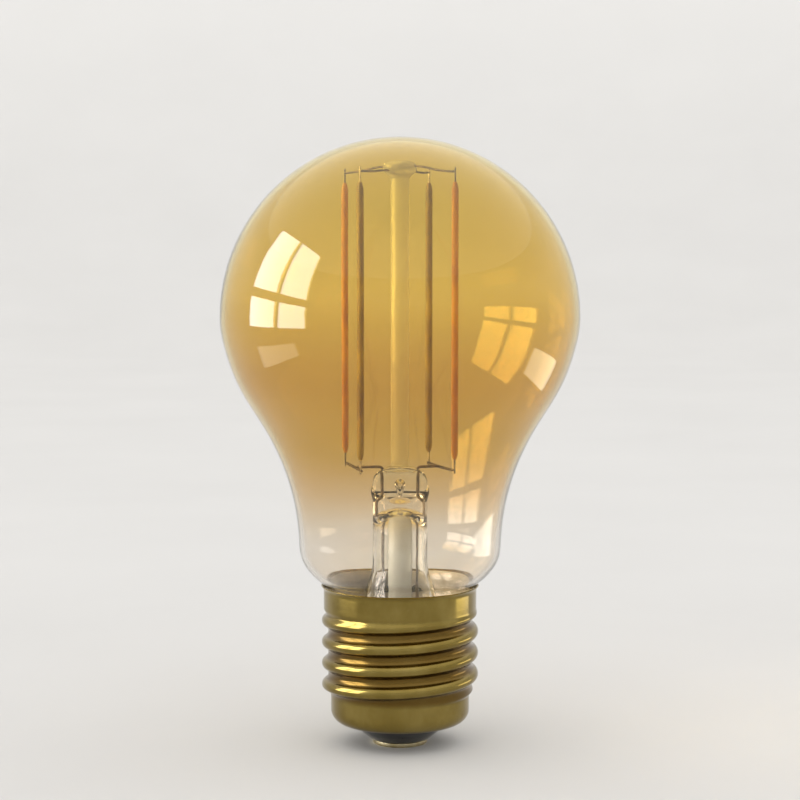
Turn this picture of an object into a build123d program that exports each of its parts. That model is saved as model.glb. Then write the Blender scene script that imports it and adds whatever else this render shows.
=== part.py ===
from build123d import *
import math
import os

# A filament smart lamp, in millimetres. Z runs up the lamp's axis, and z = 0 is the end of
# the centre contact, so the screw cap is at the bottom and the glass bulb is above it.
# Seen from the front, which is -Y, left is -X.

# Whole lamp
lamp_length = 102.0
glass_radius = 30.0
glass_wall = 0.8

# Screw cap: a rolled brass sheet with a round-profile thread
cap_height = 27.0
shell_wall = 0.25
thread_crest_radius = 13.2
thread_pitch = 3.629
thread_round = 1.025          # radius of each crest and each root of the profile
thread_start = 8.2            # the thread fades in above this height
thread_end = 23.2             # and has faded out below this one
thread_fade = 1.7
thread_phase = 0.286          # height of a crest at +X, in pitches
skirt_radius = 12.86
lip_flare = 0.4               # the rim turns outwards by this much
lip_height = 0.8
lip_edge_rise = 0.1           # the rim's inner edge stands this far above its outer edge
low_step = 0.42               # the plain end is this much smaller than the thread's root
bottom_round = 2.2
bottom_height = 3.65
bottom_flat = 1.284           # width of the flat ring round the hole in the shell's end
thread_points = 40            # points round each level section of the thread
thread_sections = 10          # level sections in each pitch
skin_step = 0.03              # shoulder where the plain zones meet the rolled thread

# Insulator and centre contact
cut_over = 1.0                # a cut runs past the faces that it opens by this much
seat_gap = 0.05               # clearance between pieces that are pressed or crimped together
insulator_foot_radius = 4.75
insulator_foot_height = 0.7
insulator_top = 7.4
insulator_dish = 1.2
contact_radius = 4.6
contact_round = 0.3
pin_radius = 0.9
pin_head_radius = 2.0
pin_head_height = 0.35
pin_rise = 0.5                # the pin stands this far above the insulator
insulator_foot_round = 0.3
insulator_rim = 0.5

# Glass neck, its seal and the cement
neck_radius = 17.0
neck_rise = 8.0               # the neck's narrow place stands this far above the cap
shoulder_rise = 4.6           # and its shoulder this far
shoulder_radius = 16.55
cement_gap = 1.0
cement_height = 3.2
cement_drop = 0.3
seal_reach = 5.8              # the neck's end lies this far down inside the cap
seal_depth = 1.3

# Stem: flare, press, rod and exhaust tube
flare_radius = 4.6
flare_wall = 0.7
flare_curve_height = 9.0
dome_gap = 1.0                # from the top of the hollow inside the flare to the press's foot
press_height = 47.3
press_width = 9.9
press_depth = 4.8
press_length = 6.1
press_belly_drop = 4.2        # the press is widest this far below its top
press_shoulder_drop = 1.7
press_shoulder_width = 9.2
press_top_width = 4.8
press_top_depth = 3.5
rod_radius = 1.55
button_radius = 2.8
button_height = 3.2
button_dome = 0.95
button_belly = 1.44           # the button is widest this far above its neck
crown_gap = 3.9               # from the button's top to the top of the lamp
exhaust_radius = 2.05
exhaust_bore = 1.25
exhaust_port_radius = 0.85
exhaust_port_drop = 3.1       # from the press's top down to the port
exhaust_reach = 0.9           # the tip hangs this far below the neck's end

# Wires
lead_radius = 0.25
lead_offset = 2.85
lead_bend = 0.8
link_radius = 0.2
link_bend = 1.2
foot_bar_radius = 0.25
foot_drop = 0.1               # the foot bars lie this far below the top of the press
link_drop = 1.1               # from the button's top down to the upper of the two crossing wires
link_gap = 0.65               # the two crossing wires are this far apart in height
warm_dip = 0.9                # each wire comes down by this much on its way out to the tabs
cool_dip = 0.15
link_shoulder = 1.2           # and starts to come down this far outside the button
tab_reach = 0.3               # the tabs stick out past the wires by this much

# LED filaments: where each stands, seen from above
filament_places = {
    "warm_left": (-9.3, 5.0),
    "cool_left": (-6.5, -6.5),
    "cool_right": (4.9, 6.5),
    "warm_right": (9.0, -5.0),
}
coat_width = 1.15
coat_depth = 1.05
coat_taper = 0.9
coat_round = 0.483
coat_tip_width = 0.897
coat_tip_depth = 0.693
coat_tip_round = 0.315
substrate_width = 0.72
substrate_depth = 0.3
chip_width = 0.3
chip_height = 0.14
chip_length = 0.8
chip_spacing = 1.4
tab_width = 0.42
tab_depth = 0.14
tab_grip = 0.9
tab_length = 2.4
layer_gap = 0.02              # clearance between the layers of a filament

# Driver board and its parts
board_clearance = 0.45        # between the boards and the thread's root
board_thickness = 1.0
board_margin = 0.4            # parts stand at least this far in from a board's edge
driver_board_height = 9.4
capacitor_radius = 3.15
capacitor_height = 7.4
capacitor_angle = 150
sleeve_wall = 0.15
sleeve_lap = 0.35
vent_width = 0.3
vent_depth = 0.12
choke_radius = 3.0
choke_height = 6.6
choke_angle = 30
choke_neck_radius = 1.5
choke_flange = 1.0
choke_wire = 0.5
choke_inset = 0.15
film_length = 5.4
film_width = 3.2
film_height = 6.0
film_round = 0.4
film_setback = 0.9
fuse_radius = 1.2
fuse_length = 5.0
fuse_round = 0.35
fuse_lead_radius = 0.25
fuse_lead_rise = 0.4
fuse_lead_reach = 0.7
driver_chip_length = 4.9
driver_chip_width = 3.9
driver_chip_height = 1.4
driver_chip_gap = 0.3
chip_leg_reach = 1.0
chip_leg_spacing = 1.27
chip_leg_width = 0.42
chip_leg_thickness = 0.2
chip_bevel = 0.15
leg_standoff = 0.1
rectifier_length = 4.7
rectifier_width = 3.9
rectifier_height = 1.2
rectifier_place = (4.4, 2.6)
small_part_length = 1.6
small_part_width = 0.8
small_part_height = 0.55
resistor_places = (
    (0, -1.6, 0), (0, -3.2, 0), (0, -4.8, 0), (0, 1.4, 90), (1.5, 1.4, 90), (-1.5, 1.4, 90),
)
header_pin_radius = 0.32
header_pin_spacing = 2.0
header_pin_count = 4
header_pin_row = 5.2

# Radio board and its parts
wifi_board_gap = 0.9          # from the radio board up to the exhaust tip
lead_clearance = 0.25
radio_chip_side = 5.0
radio_chip_height = 0.85
radio_chip_place = (6.4, -1.6)
flash_length = 4.0
flash_width = 3.0
flash_place = (-6.4, -2.4)
crystal_length = 3.2
crystal_width = 2.5
crystal_height = 0.7
crystal_round = 0.35
crystal_place = (5.6, 4.0)
small_capacitor_places = (
    (1.6, -6.2, 90), (3.2, -6.2, 90), (4.8, -6.2, 90), (-1.6, -6.2, 0), (-4.4, 2.4, 0), (-4.4, 4.0, 0),
    (-7.0, 2.4, 0), (-7.0, 4.0, 0), (0, -8.4, 0), (2.6, -8.4, 0),
)
antenna_radius = 0.35
antenna_gap = 4.2             # from the aerial's tip up to the top of the flare's hollow

# Wires from the cap to the driver
feed_wire_radius = 0.45
feed_bend = 0.6
live_place = 3.0
neutral_angle = -20
neutral_rise = 3.2
joint_radius = 1.1
solder_foot_radius = 0.65
solder_top_radius = 0.325
solder_height = 0.6

# Values that follow from the ones above
quarter_pitch = thread_pitch / 4
arc_centre = math.sqrt(thread_round ** 2 - quarter_pitch ** 2)
thread_half_depth = thread_round - arc_centre
thread_middle_radius = thread_crest_radius - thread_half_depth
thread_root_radius = thread_middle_radius - thread_half_depth
low_radius = thread_root_radius - low_step
bore_radius = thread_root_radius - shell_wall
bottom_hole_radius = low_radius - bottom_round - bottom_flat
neck_height = cap_height + neck_rise
shoulder_height = cap_height + shoulder_rise
seal_height = cap_height - seal_reach
seal_radius = skirt_radius - shell_wall - cement_gap
seal_inner_radius = seal_radius - glass_wall
dome_centre = lamp_length - glass_radius
press_foot = press_height - press_length
press_belly_height = press_height - press_belly_drop
press_shoulder_height = press_height - press_shoulder_drop
dome_height = press_foot - dome_gap
exhaust_port_height = press_height - exhaust_port_drop
exhaust_tip = seal_height - exhaust_reach
button_top = lamp_length - crown_gap
link_height = button_top - link_drop
tab_top = link_height - link_gap + link_radius + tab_reach
foot_height = press_height - foot_drop
tab_bottom = foot_height - foot_bar_radius - tab_reach
coat_top = tab_top - tab_length
coat_bottom = tab_bottom + tab_length
board_radius = bore_radius - board_clearance
driver_board_top = driver_board_height + board_thickness
wifi_board_top = exhaust_tip - wifi_board_gap
wifi_board_height = wifi_board_top - board_thickness
antenna_top = dome_height - antenna_gap


def smooth_step(value):
    value = min(1.0, max(0.0, value))
    return value * value * (3 - 2 * value)


def revolve_outline(edges):
    # A closed half section in the XZ plane, turned round the lamp's axis.
    return revolve(make_face(Plane.XZ * Curve(children=edges)), Axis.Z)


def ring(outer, inner, low, high):
    # A plain tube, or a disc where inner is 0.
    body = Pos(0, 0, low) * Cylinder(outer, high - low, align=(Align.CENTER, Align.CENTER, Align.MIN))
    if inner > 0:
        body -= Pos(0, 0, low - cut_over) * Cylinder(
            inner, high - low + 2 * cut_over, align=(Align.CENTER, Align.CENTER, Align.MIN))
    return body


def block(length, width, height, centre, low, turn=0):
    # A box standing at height low, turned about the vertical.
    return Pos(centre[0], centre[1], low) * Rot(0, 0, turn) * Box(
        length, width, height, align=(Align.CENTER, Align.CENTER, Align.MIN))


def post(radius, centre, low, high):
    return Pos(centre[0], centre[1], low) * Cylinder(
        radius, high - low, align=(Align.CENTER, Align.CENTER, Align.MIN))


def round_wire(points, radius, bend):
    # A wire of straight runs joined by tangent arcs.
    corners = [Vector(*p) for p in points]
    edges = []
    start = corners[0]
    for before, corner, after in zip(corners, corners[1:], corners[2:]):
        arriving = (corner - before).normalized()
        leaving = (after - corner).normalized()
        half_turn = math.radians(arriving.get_angle(leaving)) / 2
        cut = bend * math.tan(half_turn)
        first = corner - arriving * cut
        last = corner + leaving * cut
        inward = (leaving - arriving).normalized()
        middle = corner + inward * (bend / math.cos(half_turn) - bend)
        edges.append(Edge.make_line(start, first))
        edges.append(Edge.make_three_point_arc(first, middle, last))
        start = last
    edges.append(Edge.make_line(start, corners[-1]))
    path = Wire(edges)
    section = Plane(origin=corners[0], z_dir=path % 0) * Circle(radius)
    return sweep(section, path)


# Glass bulb

def bulb_outline():
    # The bulb's outside from the widest ring down to the end of the neck. Each pair is a share
    # of the way up from the neck to the widest ring, and of the way out to its radius.
    swell = ((0.170, 0.064), (0.341, 0.212), (0.514, 0.456), (0.684, 0.749), (0.854, 0.932))
    # The same from the cap's rim up to the shoulder, and from the seal out to it.
    tuck = ((0.27, 0.5), (-0.05, 0.18), (-0.5, 0.0))
    rise = dome_centre - neck_height
    spread = glass_radius - neck_radius
    upper = [(neck_radius + spread * out, neck_height + rise * up) for up, out in reversed(swell)]
    inward = shoulder_radius - seal_radius
    lower = [
        (neck_radius, neck_height),
        (shoulder_radius, shoulder_height),
    ]
    lower += [(seal_radius + inward * out, cap_height + shoulder_rise * up) for up, out in tuck]
    return [(glass_radius, dome_centre)] + upper + lower


def inset_points(points, inset):
    # The same outline moved inwards, square to itself.
    moved = []
    for i, (r, z) in enumerate(points):
        before = points[max(i - 1, 0)]
        after = points[min(i + 1, len(points) - 1)]
        dr, dz = after[0] - before[0], after[1] - before[1]
        if i in (0, len(points) - 1):
            dr = 0.0
        size = math.hypot(dr, dz)
        moved.append((r + inset * dz / size, z - inset * dr / size))
    return moved


def bulb_body(inset, bottom):
    # A solid bulb whose skin lies inside the outer glass by the inset.
    points = inset_points(bulb_outline(), inset)
    radius = glass_radius - inset
    top = (0, dome_centre + radius)
    dome = ThreePointArc(
        top, (radius * math.sin(math.pi / 4), dome_centre + radius * math.cos(math.pi / 4)), points[0])
    side = Spline(*points, tangents=((0, -1), (0, -1)))
    end_radius = points[-1][0]
    base = [
        Line(points[-1], (end_radius, bottom)),
        Line((end_radius, bottom), (0, bottom)),
        Line((0, bottom), top),
    ]
    return revolve_outline([dome, side] + base)


def glass_envelope():
    return bulb_body(0, seal_height) - bulb_body(glass_wall, seal_height - cut_over)


# Stem

def flare_solid(inset, top, bottom):
    # A rod that runs straight down from the press, then opens out to the neck seal.
    top_radius = flare_radius - inset
    end_radius = seal_inner_radius - layer_gap - inset
    rim = seal_height + seal_depth - inset
    bend = rim + flare_curve_height
    return revolve_outline([
        Line((0, top), (top_radius, top)),
        Line((top_radius, top), (top_radius, bend)),
        Spline((top_radius, bend), (end_radius, rim), tangents=((0, -1), (1, -0.12))),
        Line((end_radius, rim), (end_radius, bottom)),
        Line((end_radius, bottom), (0, bottom)),
        Line((0, bottom), (0, top)),
    ])


def lead_positions():
    return {"left": (-lead_offset, 0), "right": (lead_offset, 0)}


def press_taper(plane, low_width, high_width):
    # A long wedge with rounded flanks that narrows the top of the press.
    low, high = press_shoulder_height, press_height
    right, inner = low_width / 2, high_width / 2
    outline = Curve(children=[
        Line((-right, low), (right, low)),
        Spline((right, low), (inner, high), tangents=((0, 1), (-1, 0.35))),
        Line((inner, high), (-inner, high)),
        Spline((-inner, high), (-right, low), tangents=((-1, -0.35), (0, -1))),
    ])
    return extrude(plane * make_face(outline), press_width, both=True)


def stem_flare():
    # The flared tube, closed at the top by the flat press that grips the lead wires.
    outer = flare_solid(0, press_foot, seal_height)
    top_radius = flare_radius - flare_wall
    hollow = flare_solid(flare_wall, dome_height - top_radius, seal_height - cut_over)
    roof = Pos(0, 0, dome_height - top_radius) * Sphere(top_radius)
    waist = Plane.XY.offset(press_foot) * Circle(flare_radius)
    belly = Plane.XY.offset(press_belly_height) * SlotOverall(press_width, press_depth)
    shoulder = Plane.XY.offset(press_shoulder_height) * SlotOverall(press_shoulder_width, press_depth)
    crest = extrude(shoulder, press_height - press_shoulder_height)
    crest &= press_taper(Plane.XZ, press_shoulder_width, press_top_width)
    crest &= press_taper(Plane.YZ, press_depth, press_top_depth)
    press = loft([waist, belly]) + loft([belly, shoulder]) + crest
    body = outer + press - hollow - roof
    port = Pos(0, -press_depth, exhaust_port_height) * Rot(90, 0, 0) * Cylinder(
        exhaust_port_radius, press_depth * 2, align=(Align.CENTER, Align.CENTER, Align.CENTER))
    body -= port
    body -= post(exhaust_port_radius, (0, 0), dome_height - top_radius, exhaust_port_height)
    for side in ("left", "right"):
        body -= lead_wire(side)
    return body


def exhaust_tube():
    # Runs down from the hollow's roof and is melted shut at its tip.
    top_radius = flare_radius - flare_wall
    roof = dome_height - top_radius
    top = roof + math.sqrt(top_radius ** 2 - exhaust_radius ** 2) - seat_gap
    body = ring(exhaust_radius, 0, exhaust_tip + exhaust_radius, top)
    body += Pos(0, 0, exhaust_tip + exhaust_radius) * Sphere(exhaust_radius)
    body -= post(exhaust_bore, (0, 0), exhaust_tip + exhaust_radius, top + cut_over)
    return body


def centre_rod():
    low = press_height
    neck = button_top - button_height
    edges = [
        Line((0, low), (rod_radius, low)),
        Line((rod_radius, low), (rod_radius, neck)),
        Spline((rod_radius, neck), (button_radius, neck + button_belly),
               tangents=((0.15, 1), (0.25, 1))),
        Line((button_radius, neck + button_belly), (button_radius, button_top - button_dome)),
        EllipticalCenterArc((0, button_top - button_dome), button_radius, button_dome),
        Line((0, button_top), (0, low)),
    ]
    body = revolve_outline(edges)
    for colour in ("warm", "cool"):
        body -= top_link(colour)
    return body


# Wires inside the bulb

def inner_face_point(name, height, extra):
    # A point beside a filament's tab, on the side that faces the rod.
    x, y = filament_places[name]
    reach = math.hypot(x, y)
    near = reach - tab_depth / 2 - extra
    return (x / reach * near, y / reach * near, height)


def top_link(colour):
    # One wire through the glass button, joining the tops of the two filaments of one colour.
    height, dip = (link_height, warm_dip) if colour == "warm" else (link_height - link_gap, cool_dip)
    left = inner_face_point(colour + "_left", height - dip, 0)
    right = inner_face_point(colour + "_right", height - dip, 0)
    points = [left]
    for end in (left, right):
        reach = math.hypot(end[0], end[1])
        share = (button_radius + link_shoulder) / reach
        points.append((end[0] * share, end[1] * share, height))
    points.append(right)
    tabs = [filament_tabs(colour + "_left"), filament_tabs(colour + "_right")]
    return round_wire(points, link_radius, link_bend) - tabs


def foot_bar(side):
    # Joins the lower tabs of one side's two filaments, notched where it is welded to each.
    warm = inner_face_point("warm_" + side, foot_height, foot_bar_radius)
    cool = inner_face_point("cool_" + side, foot_height, foot_bar_radius)
    tabs = [filament_tabs("warm_" + side), filament_tabs("cool_" + side)]
    return round_wire([warm, cool], foot_bar_radius, 0) - tabs


def lead_wire(side):
    # From the driver board up through the press, then out to the middle of the foot bar.
    x, y = lead_positions()[side]
    warm = inner_face_point("warm_" + side, foot_height, foot_bar_radius)
    cool = inner_face_point("cool_" + side, foot_height, foot_bar_radius)
    middle = ((warm[0] + cool[0]) / 2, (warm[1] + cool[1]) / 2)
    bar = (Vector(*cool) - Vector(*warm)).normalized()
    outward = Vector(-bar.Y, bar.X, 0)
    if outward.dot(Vector(x, y, 0)) < 0:
        outward = outward * -1
    stop = Vector(middle[0], middle[1], 0) - outward * (foot_bar_radius + layer_gap)
    points = [(x, y, driver_board_top), (x, y, foot_height), (stop.X, stop.Y, foot_height)]
    return round_wire(points, lead_radius, lead_bend) - foot_bar(side)


# LED filaments

def filament_frame(name):
    # X across the strip, Y out from the rod, Z up.
    x, y = filament_places[name]
    turn = math.degrees(math.atan2(y, x)) - 90
    return Pos(x, y, 0) * Rot(0, 0, turn)


def filament_substrate(name):
    low = coat_bottom + tab_grip
    high = coat_top - tab_grip
    return filament_frame(name) * block(substrate_width, substrate_depth, high - low, (0, 0), low)


def filament_chips(name):
    low = coat_bottom + tab_grip + chip_spacing / 2
    high = coat_top - tab_grip - chip_spacing / 2
    count = int((high - low - chip_length) / chip_spacing) + 1
    margin = (high - low - chip_length - (count - 1) * chip_spacing) / 2
    face = substrate_depth / 2 + chip_height / 2
    chips = []
    for i in range(count):
        foot = low + margin + i * chip_spacing
        chips.append(block(chip_width, chip_height, chip_length, (0, face), foot))
    return filament_frame(name) * Compound(children=chips)


def filament_tabs(name):
    length = tab_length + tab_grip - layer_gap
    tabs = [
        block(tab_width, tab_depth, length, (0, 0), tab_top - length),
        block(tab_width, tab_depth, length, (0, 0), tab_bottom),
    ]
    return filament_frame(name) * Compound(children=tabs)


def filament_coat(name):
    # Phosphor silicone round the strip, narrowing at both ends.
    middle = Plane.XY.offset(coat_bottom + coat_taper) * RectangleRounded(
        coat_width, coat_depth, coat_round)
    tip = Plane.XY.offset(coat_bottom) * RectangleRounded(
        coat_tip_width, coat_tip_depth, coat_tip_round)
    span = coat_top - coat_bottom - 2 * coat_taper
    body = extrude(middle, span)
    lower_end = loft([tip, middle])
    upper_end = mirror(lower_end, Plane.XY.offset((coat_top + coat_bottom) / 2))
    body = body + lower_end + upper_end
    low = coat_bottom + tab_grip
    high = coat_top - tab_grip
    slot_width = substrate_width + 2 * layer_gap
    body -= block(slot_width, substrate_depth + 2 * layer_gap, high - low, (0, 0), low)
    slot_depth = chip_height + substrate_depth / 2 + layer_gap
    body -= block(chip_width + 2 * layer_gap, slot_depth, high - low, (0, slot_depth / 2), low)
    body -= block(tab_width + 2 * layer_gap, tab_depth + 2 * layer_gap,
                  coat_top - coat_bottom + 2 * cut_over, (0, 0), coat_bottom - cut_over)
    return filament_frame(name) * body


# Screw cap

def thread_wave(turns, inset):
    # Height of the rolled profile above its middle radius: equal arcs, a crest and then a root.
    # The inset moves the skin inwards, square to the sheet.
    away = abs((turns + 0.5) % 1.0 - 0.5) * thread_pitch
    crest_reach = (thread_round - inset) * quarter_pitch / thread_round
    if away < crest_reach:
        return math.sqrt((thread_round - inset) ** 2 - away ** 2) - arc_centre
    return arc_centre - math.sqrt((thread_round + inset) ** 2 - (thread_pitch / 2 - away) ** 2)


def thread_skin_radius(angle, height, inset):
    wave = thread_middle_radius + thread_wave(
        height / thread_pitch - angle / (2 * math.pi) - thread_phase, inset)
    at_bottom = smooth_step((height - thread_start) / thread_fade)
    at_top = smooth_step((thread_end - height) / thread_fade)
    low_skin = low_radius - skin_step - inset
    high_skin = skirt_radius - skin_step - inset
    return low_skin * (1 - at_bottom) + high_skin * (1 - at_top) + wave * (at_bottom + at_top - 1)


def thread_body(inset, low, high):
    # A solid whose skin is the threaded sheet's outside or inside, lofted through level sections.
    steps = round((high - low) / (thread_pitch / thread_sections))
    sections = []
    for i in range(steps + 1):
        z = low + (high - low) * i / steps
        points = []
        for k in range(thread_points):
            angle = 2 * math.pi * k / thread_points
            r = thread_skin_radius(angle, z, inset)
            points.append((r * math.cos(angle), r * math.sin(angle), z))
        sections.append(Wire([Edge.make_spline(points, periodic=True)]))
    return Solid.make_loft(sections)


def cap_shell():
    thread = thread_body(0, thread_start, thread_end)
    thread -= thread_body(shell_wall, thread_start - cut_over, thread_end + cut_over)
    lip_foot = cap_height - lip_height
    lip_radius = skirt_radius + lip_flare
    skirt = revolve_outline([
        Line((skirt_radius, thread_end), (skirt_radius, lip_foot)),
        Spline((skirt_radius, lip_foot), (lip_radius, cap_height), tangents=((0, 1), (0.6, 1))),
        Line((lip_radius, cap_height), (lip_radius - shell_wall, cap_height + lip_edge_rise)),
        Spline((lip_radius - shell_wall, cap_height + lip_edge_rise),
               (skirt_radius - shell_wall, lip_foot), tangents=((-0.6, -1), (0, -1))),
        Line((skirt_radius - shell_wall, lip_foot), (skirt_radius - shell_wall, thread_end)),
        Line((skirt_radius - shell_wall, thread_end), (skirt_radius, thread_end)),
    ])
    corner = bottom_height + bottom_round
    low_inner = low_radius - shell_wall
    plain = revolve_outline([
        Line((low_radius, thread_start), (low_radius, corner)),
        RadiusArc((low_radius, corner), (low_radius - bottom_round, bottom_height), bottom_round),
        Line((low_radius - bottom_round, bottom_height), (bottom_hole_radius, bottom_height)),
        Line((bottom_hole_radius, bottom_height), (bottom_hole_radius, bottom_height + shell_wall)),
        Line((bottom_hole_radius, bottom_height + shell_wall),
             (low_radius - bottom_round, bottom_height + shell_wall)),
        RadiusArc((low_radius - bottom_round, bottom_height + shell_wall), (low_inner, corner),
                  -(bottom_round - shell_wall)),
        Line((low_inner, corner), (low_inner, thread_start)),
        Line((low_inner, thread_start), (low_radius, thread_start)),
    ])
    return thread + skirt + plain


def cap_insulator():
    # Black glass cast into the shell's end, with a dish inside and a bore for the pin.
    bore = pin_radius + seat_gap
    throat = bottom_hole_radius - seat_gap
    floor = bottom_height + shell_wall + seat_gap
    corner = bottom_height + bottom_round
    corner_round = bottom_round - shell_wall - seat_gap
    side = low_radius - shell_wall - seat_gap
    dish = side - insulator_rim
    dish_floor = insulator_top - insulator_dish
    body = revolve_outline([
        Line((bore, insulator_foot_height), (insulator_foot_radius, insulator_foot_height)),
        Line((insulator_foot_radius, insulator_foot_height), (throat, bottom_height)),
        Line((throat, bottom_height), (throat, floor)),
        Line((throat, floor), (side - corner_round, floor)),
        RadiusArc((side - corner_round, floor), (side, corner), -corner_round),
        Line((side, corner), (side, insulator_top)),
        Line((side, insulator_top), (dish, insulator_top)),
        Line((dish, insulator_top), (dish - insulator_dish, dish_floor)),
        Line((dish - insulator_dish, dish_floor), (bore, dish_floor)),
        Line((bore, dish_floor), (bore, insulator_foot_height)),
    ])
    foot = body.edges().filter_by(GeomType.CIRCLE).sort_by(Axis.Z)[:2].sort_by(SortBy.RADIUS)[-1]
    return fillet(foot, insulator_foot_round)


def centre_contact():
    body = ring(contact_radius, pin_radius + seat_gap, 0, insulator_foot_height)
    body -= ring(pin_head_radius + seat_gap, 0, -cut_over, pin_head_height)
    edge = body.edges().filter_by(GeomType.CIRCLE).group_by(Axis.Z)[0].sort_by(SortBy.RADIUS)[-1]
    return fillet(edge, contact_round)


def contact_pin():
    # A rivet whose flat head lies flush in the contact and whose shank carries the live wire.
    top = pin_top()
    return ring(pin_head_radius, 0, 0, pin_head_height) + ring(pin_radius, 0, 0, top)


def pin_top():
    return insulator_top - insulator_dish + pin_rise


def cap_cement():
    # Fills the ring between the glass neck and the cap's skirt.
    top = cap_height - cement_drop
    body = ring(skirt_radius - shell_wall - layer_gap, 0, top - cement_height, top)
    return body - bulb_body(-layer_gap, top - cement_height - cut_over)


# Driver board and what stands on it

def edge_place(angle, radius):
    # Where a round part stands to be clear of the board's edge.
    reach = board_radius - board_margin - radius
    return (reach * math.cos(math.radians(angle)), reach * math.sin(math.radians(angle)))


def driver_board():
    return ring(board_radius, 0, driver_board_height, driver_board_top)


def bulk_capacitor():
    # The can, with the safety cross pressed into its top and a waist round its seal.
    place = edge_place(capacitor_angle, capacitor_radius)
    radius = capacitor_radius - sleeve_wall - layer_gap
    top = driver_board_top + capacitor_height
    body = post(radius, place, driver_board_top + seat_gap, top)
    body = fillet(body.edges().group_by(Axis.Z)[-1], sleeve_lap)
    for turn in (45, 135):
        body -= block(radius * 1.2, vent_width, vent_depth * 2, place, top - vent_depth, turn)
    return body


def capacitor_sleeve():
    # Printed film shrunk over the can, lapping onto its top.
    place = edge_place(capacitor_angle, capacitor_radius)
    low = driver_board_top + seat_gap
    high = driver_board_top + capacitor_height - sleeve_lap
    return post(capacitor_radius, place, low, high) - post(
        capacitor_radius - sleeve_wall, place, low - cut_over, high + cut_over)


def choke_core():
    # A ferrite drum.
    place = edge_place(choke_angle, choke_radius)
    low = driver_board_top + seat_gap
    high = driver_board_top + choke_height
    body = post(choke_neck_radius, place, low, high)
    body += post(choke_radius, place, low, low + choke_flange)
    body += post(choke_radius, place, high - choke_flange, high)
    return body


def choke_winding():
    # Turns of wire lying side by side in the drum's groove.
    place = edge_place(choke_angle, choke_radius)
    low = driver_board_top + seat_gap + choke_flange + layer_gap
    high = driver_board_top + choke_height - choke_flange - layer_gap
    count = int((high - low) / choke_wire)
    rise = (high - low) / count
    edge = choke_radius - choke_inset
    section = [Line((choke_neck_radius + layer_gap, low), (edge - rise / 2, low))]
    for i in range(count):
        foot = low + i * rise
        section.append(ThreePointArc(
            (edge - rise / 2, foot), (edge, foot + rise / 2), (edge - rise / 2, foot + rise)))
    section.append(Line((edge - rise / 2, high), (choke_neck_radius + layer_gap, high)))
    section.append(Line((choke_neck_radius + layer_gap, high), (choke_neck_radius + layer_gap, low)))
    return Pos(place[0], place[1], 0) * revolve_outline(section)


def film_capacitor():
    place = edge_place(-90, film_width / 2 + film_setback)
    body = block(film_length, film_width, film_height, place, driver_board_top + seat_gap)
    return fillet(body.edges().filter_by(Axis.Z), film_round)


def fuse_resistor():
    # A round body on two legs that bend down into the board.
    place = edge_place(90, fuse_radius + film_setback)
    height = driver_board_top + fuse_lead_rise + fuse_radius
    body = Pos(place[0], place[1], height) * Rot(0, 90, 0) * Cylinder(fuse_radius, fuse_length)
    body = fillet(body.edges(), fuse_round)
    for side in (-1, 1):
        end = place[0] + side * (fuse_length / 2 - fuse_round)
        drop = place[0] + side * (fuse_length / 2 + fuse_lead_reach)
        body += round_wire(
            [(end, place[1], height), (drop, place[1], height), (drop, place[1], driver_board_top)],
            fuse_lead_radius, fuse_lead_radius * 2)
    return body


def legged_chip(length, width, height, legs, centre, board_top):
    # A moulded body with gull-wing legs along both long sides.
    body = block(length, width, height, centre, board_top + leg_standoff)
    body = chamfer(body.edges().group_by(Axis.Z)[-1], chip_bevel)
    knee = board_top + leg_standoff + height / 2
    for side in (-1, 1):
        for i in range(legs):
            x = centre[0] + (i - (legs - 1) / 2) * chip_leg_spacing
            root = centre[1] + side * (width / 2 + chip_leg_reach / 4)
            knee_block = block(chip_leg_width, chip_leg_reach / 2, chip_leg_thickness, (x, root), knee)
            shin_place = (x, centre[1] + side * (width / 2 + chip_leg_reach / 2))
            shin = block(chip_leg_width, chip_leg_thickness, knee - board_top + chip_leg_thickness,
                         shin_place, board_top)
            foot_place = (x, centre[1] + side * (width / 2 + chip_leg_reach * 0.75))
            foot = block(chip_leg_width, chip_leg_reach / 2, chip_leg_thickness, foot_place, board_top)
            body += knee_block + shin + foot
    return body


def driver_chip(side):
    # One controller for each colour of light.
    sign = -1 if side == "warm" else 1
    half = driver_chip_width / 2 + chip_leg_reach
    x = lead_offset + lead_radius + driver_chip_gap + driver_chip_length / 2
    return legged_chip(driver_chip_length, driver_chip_width, driver_chip_height, 4,
                       (sign * x, -half - driver_chip_gap), driver_board_top)


def bridge_rectifier():
    # Hangs under the board.
    chip = legged_chip(rectifier_length, rectifier_width, rectifier_height, 2, (0, 0), 0)
    return Pos(-rectifier_place[0], rectifier_place[1], driver_board_height) * Rot(0, 180, 0) * chip


def small_parts(places, base, height):
    # Chip resistors or capacitors lying flat on a board.
    parts = []
    for x, y, turn in places:
        parts.append(block(small_part_length, small_part_width, height, (x, y), base, turn))
    return Compound(children=parts)


def header_pins():
    # Square-set round pins that hold the radio board up and carry its signals.
    pins = []
    for i in range(header_pin_count):
        x = (i - (header_pin_count - 1) / 2) * header_pin_spacing
        pins.append(post(header_pin_radius, (x, header_pin_row), driver_board_top, wifi_board_height))
    return Compound(children=pins)


def board_solder():
    # Small cones of solder round the lead wires where they meet the driver board.
    cones = []
    for x, y in lead_positions().values():
        cone = Pos(x, y, driver_board_top) * Cone(
            solder_foot_radius, solder_top_radius, solder_height,
            align=(Align.CENTER, Align.CENTER, Align.MIN))
        cones.append(cone - post(lead_radius, (x, y), driver_board_height, wifi_board_height))
    return Compound(children=cones)


# Radio board and its aerial

def wifi_board():
    body = ring(board_radius, 0, wifi_board_height, wifi_board_top)
    for x, y in lead_positions().values():
        hole_radius = lead_radius + lead_clearance
        body -= post(hole_radius, (x, y), wifi_board_height - cut_over, wifi_board_top + cut_over)
    return body


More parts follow.
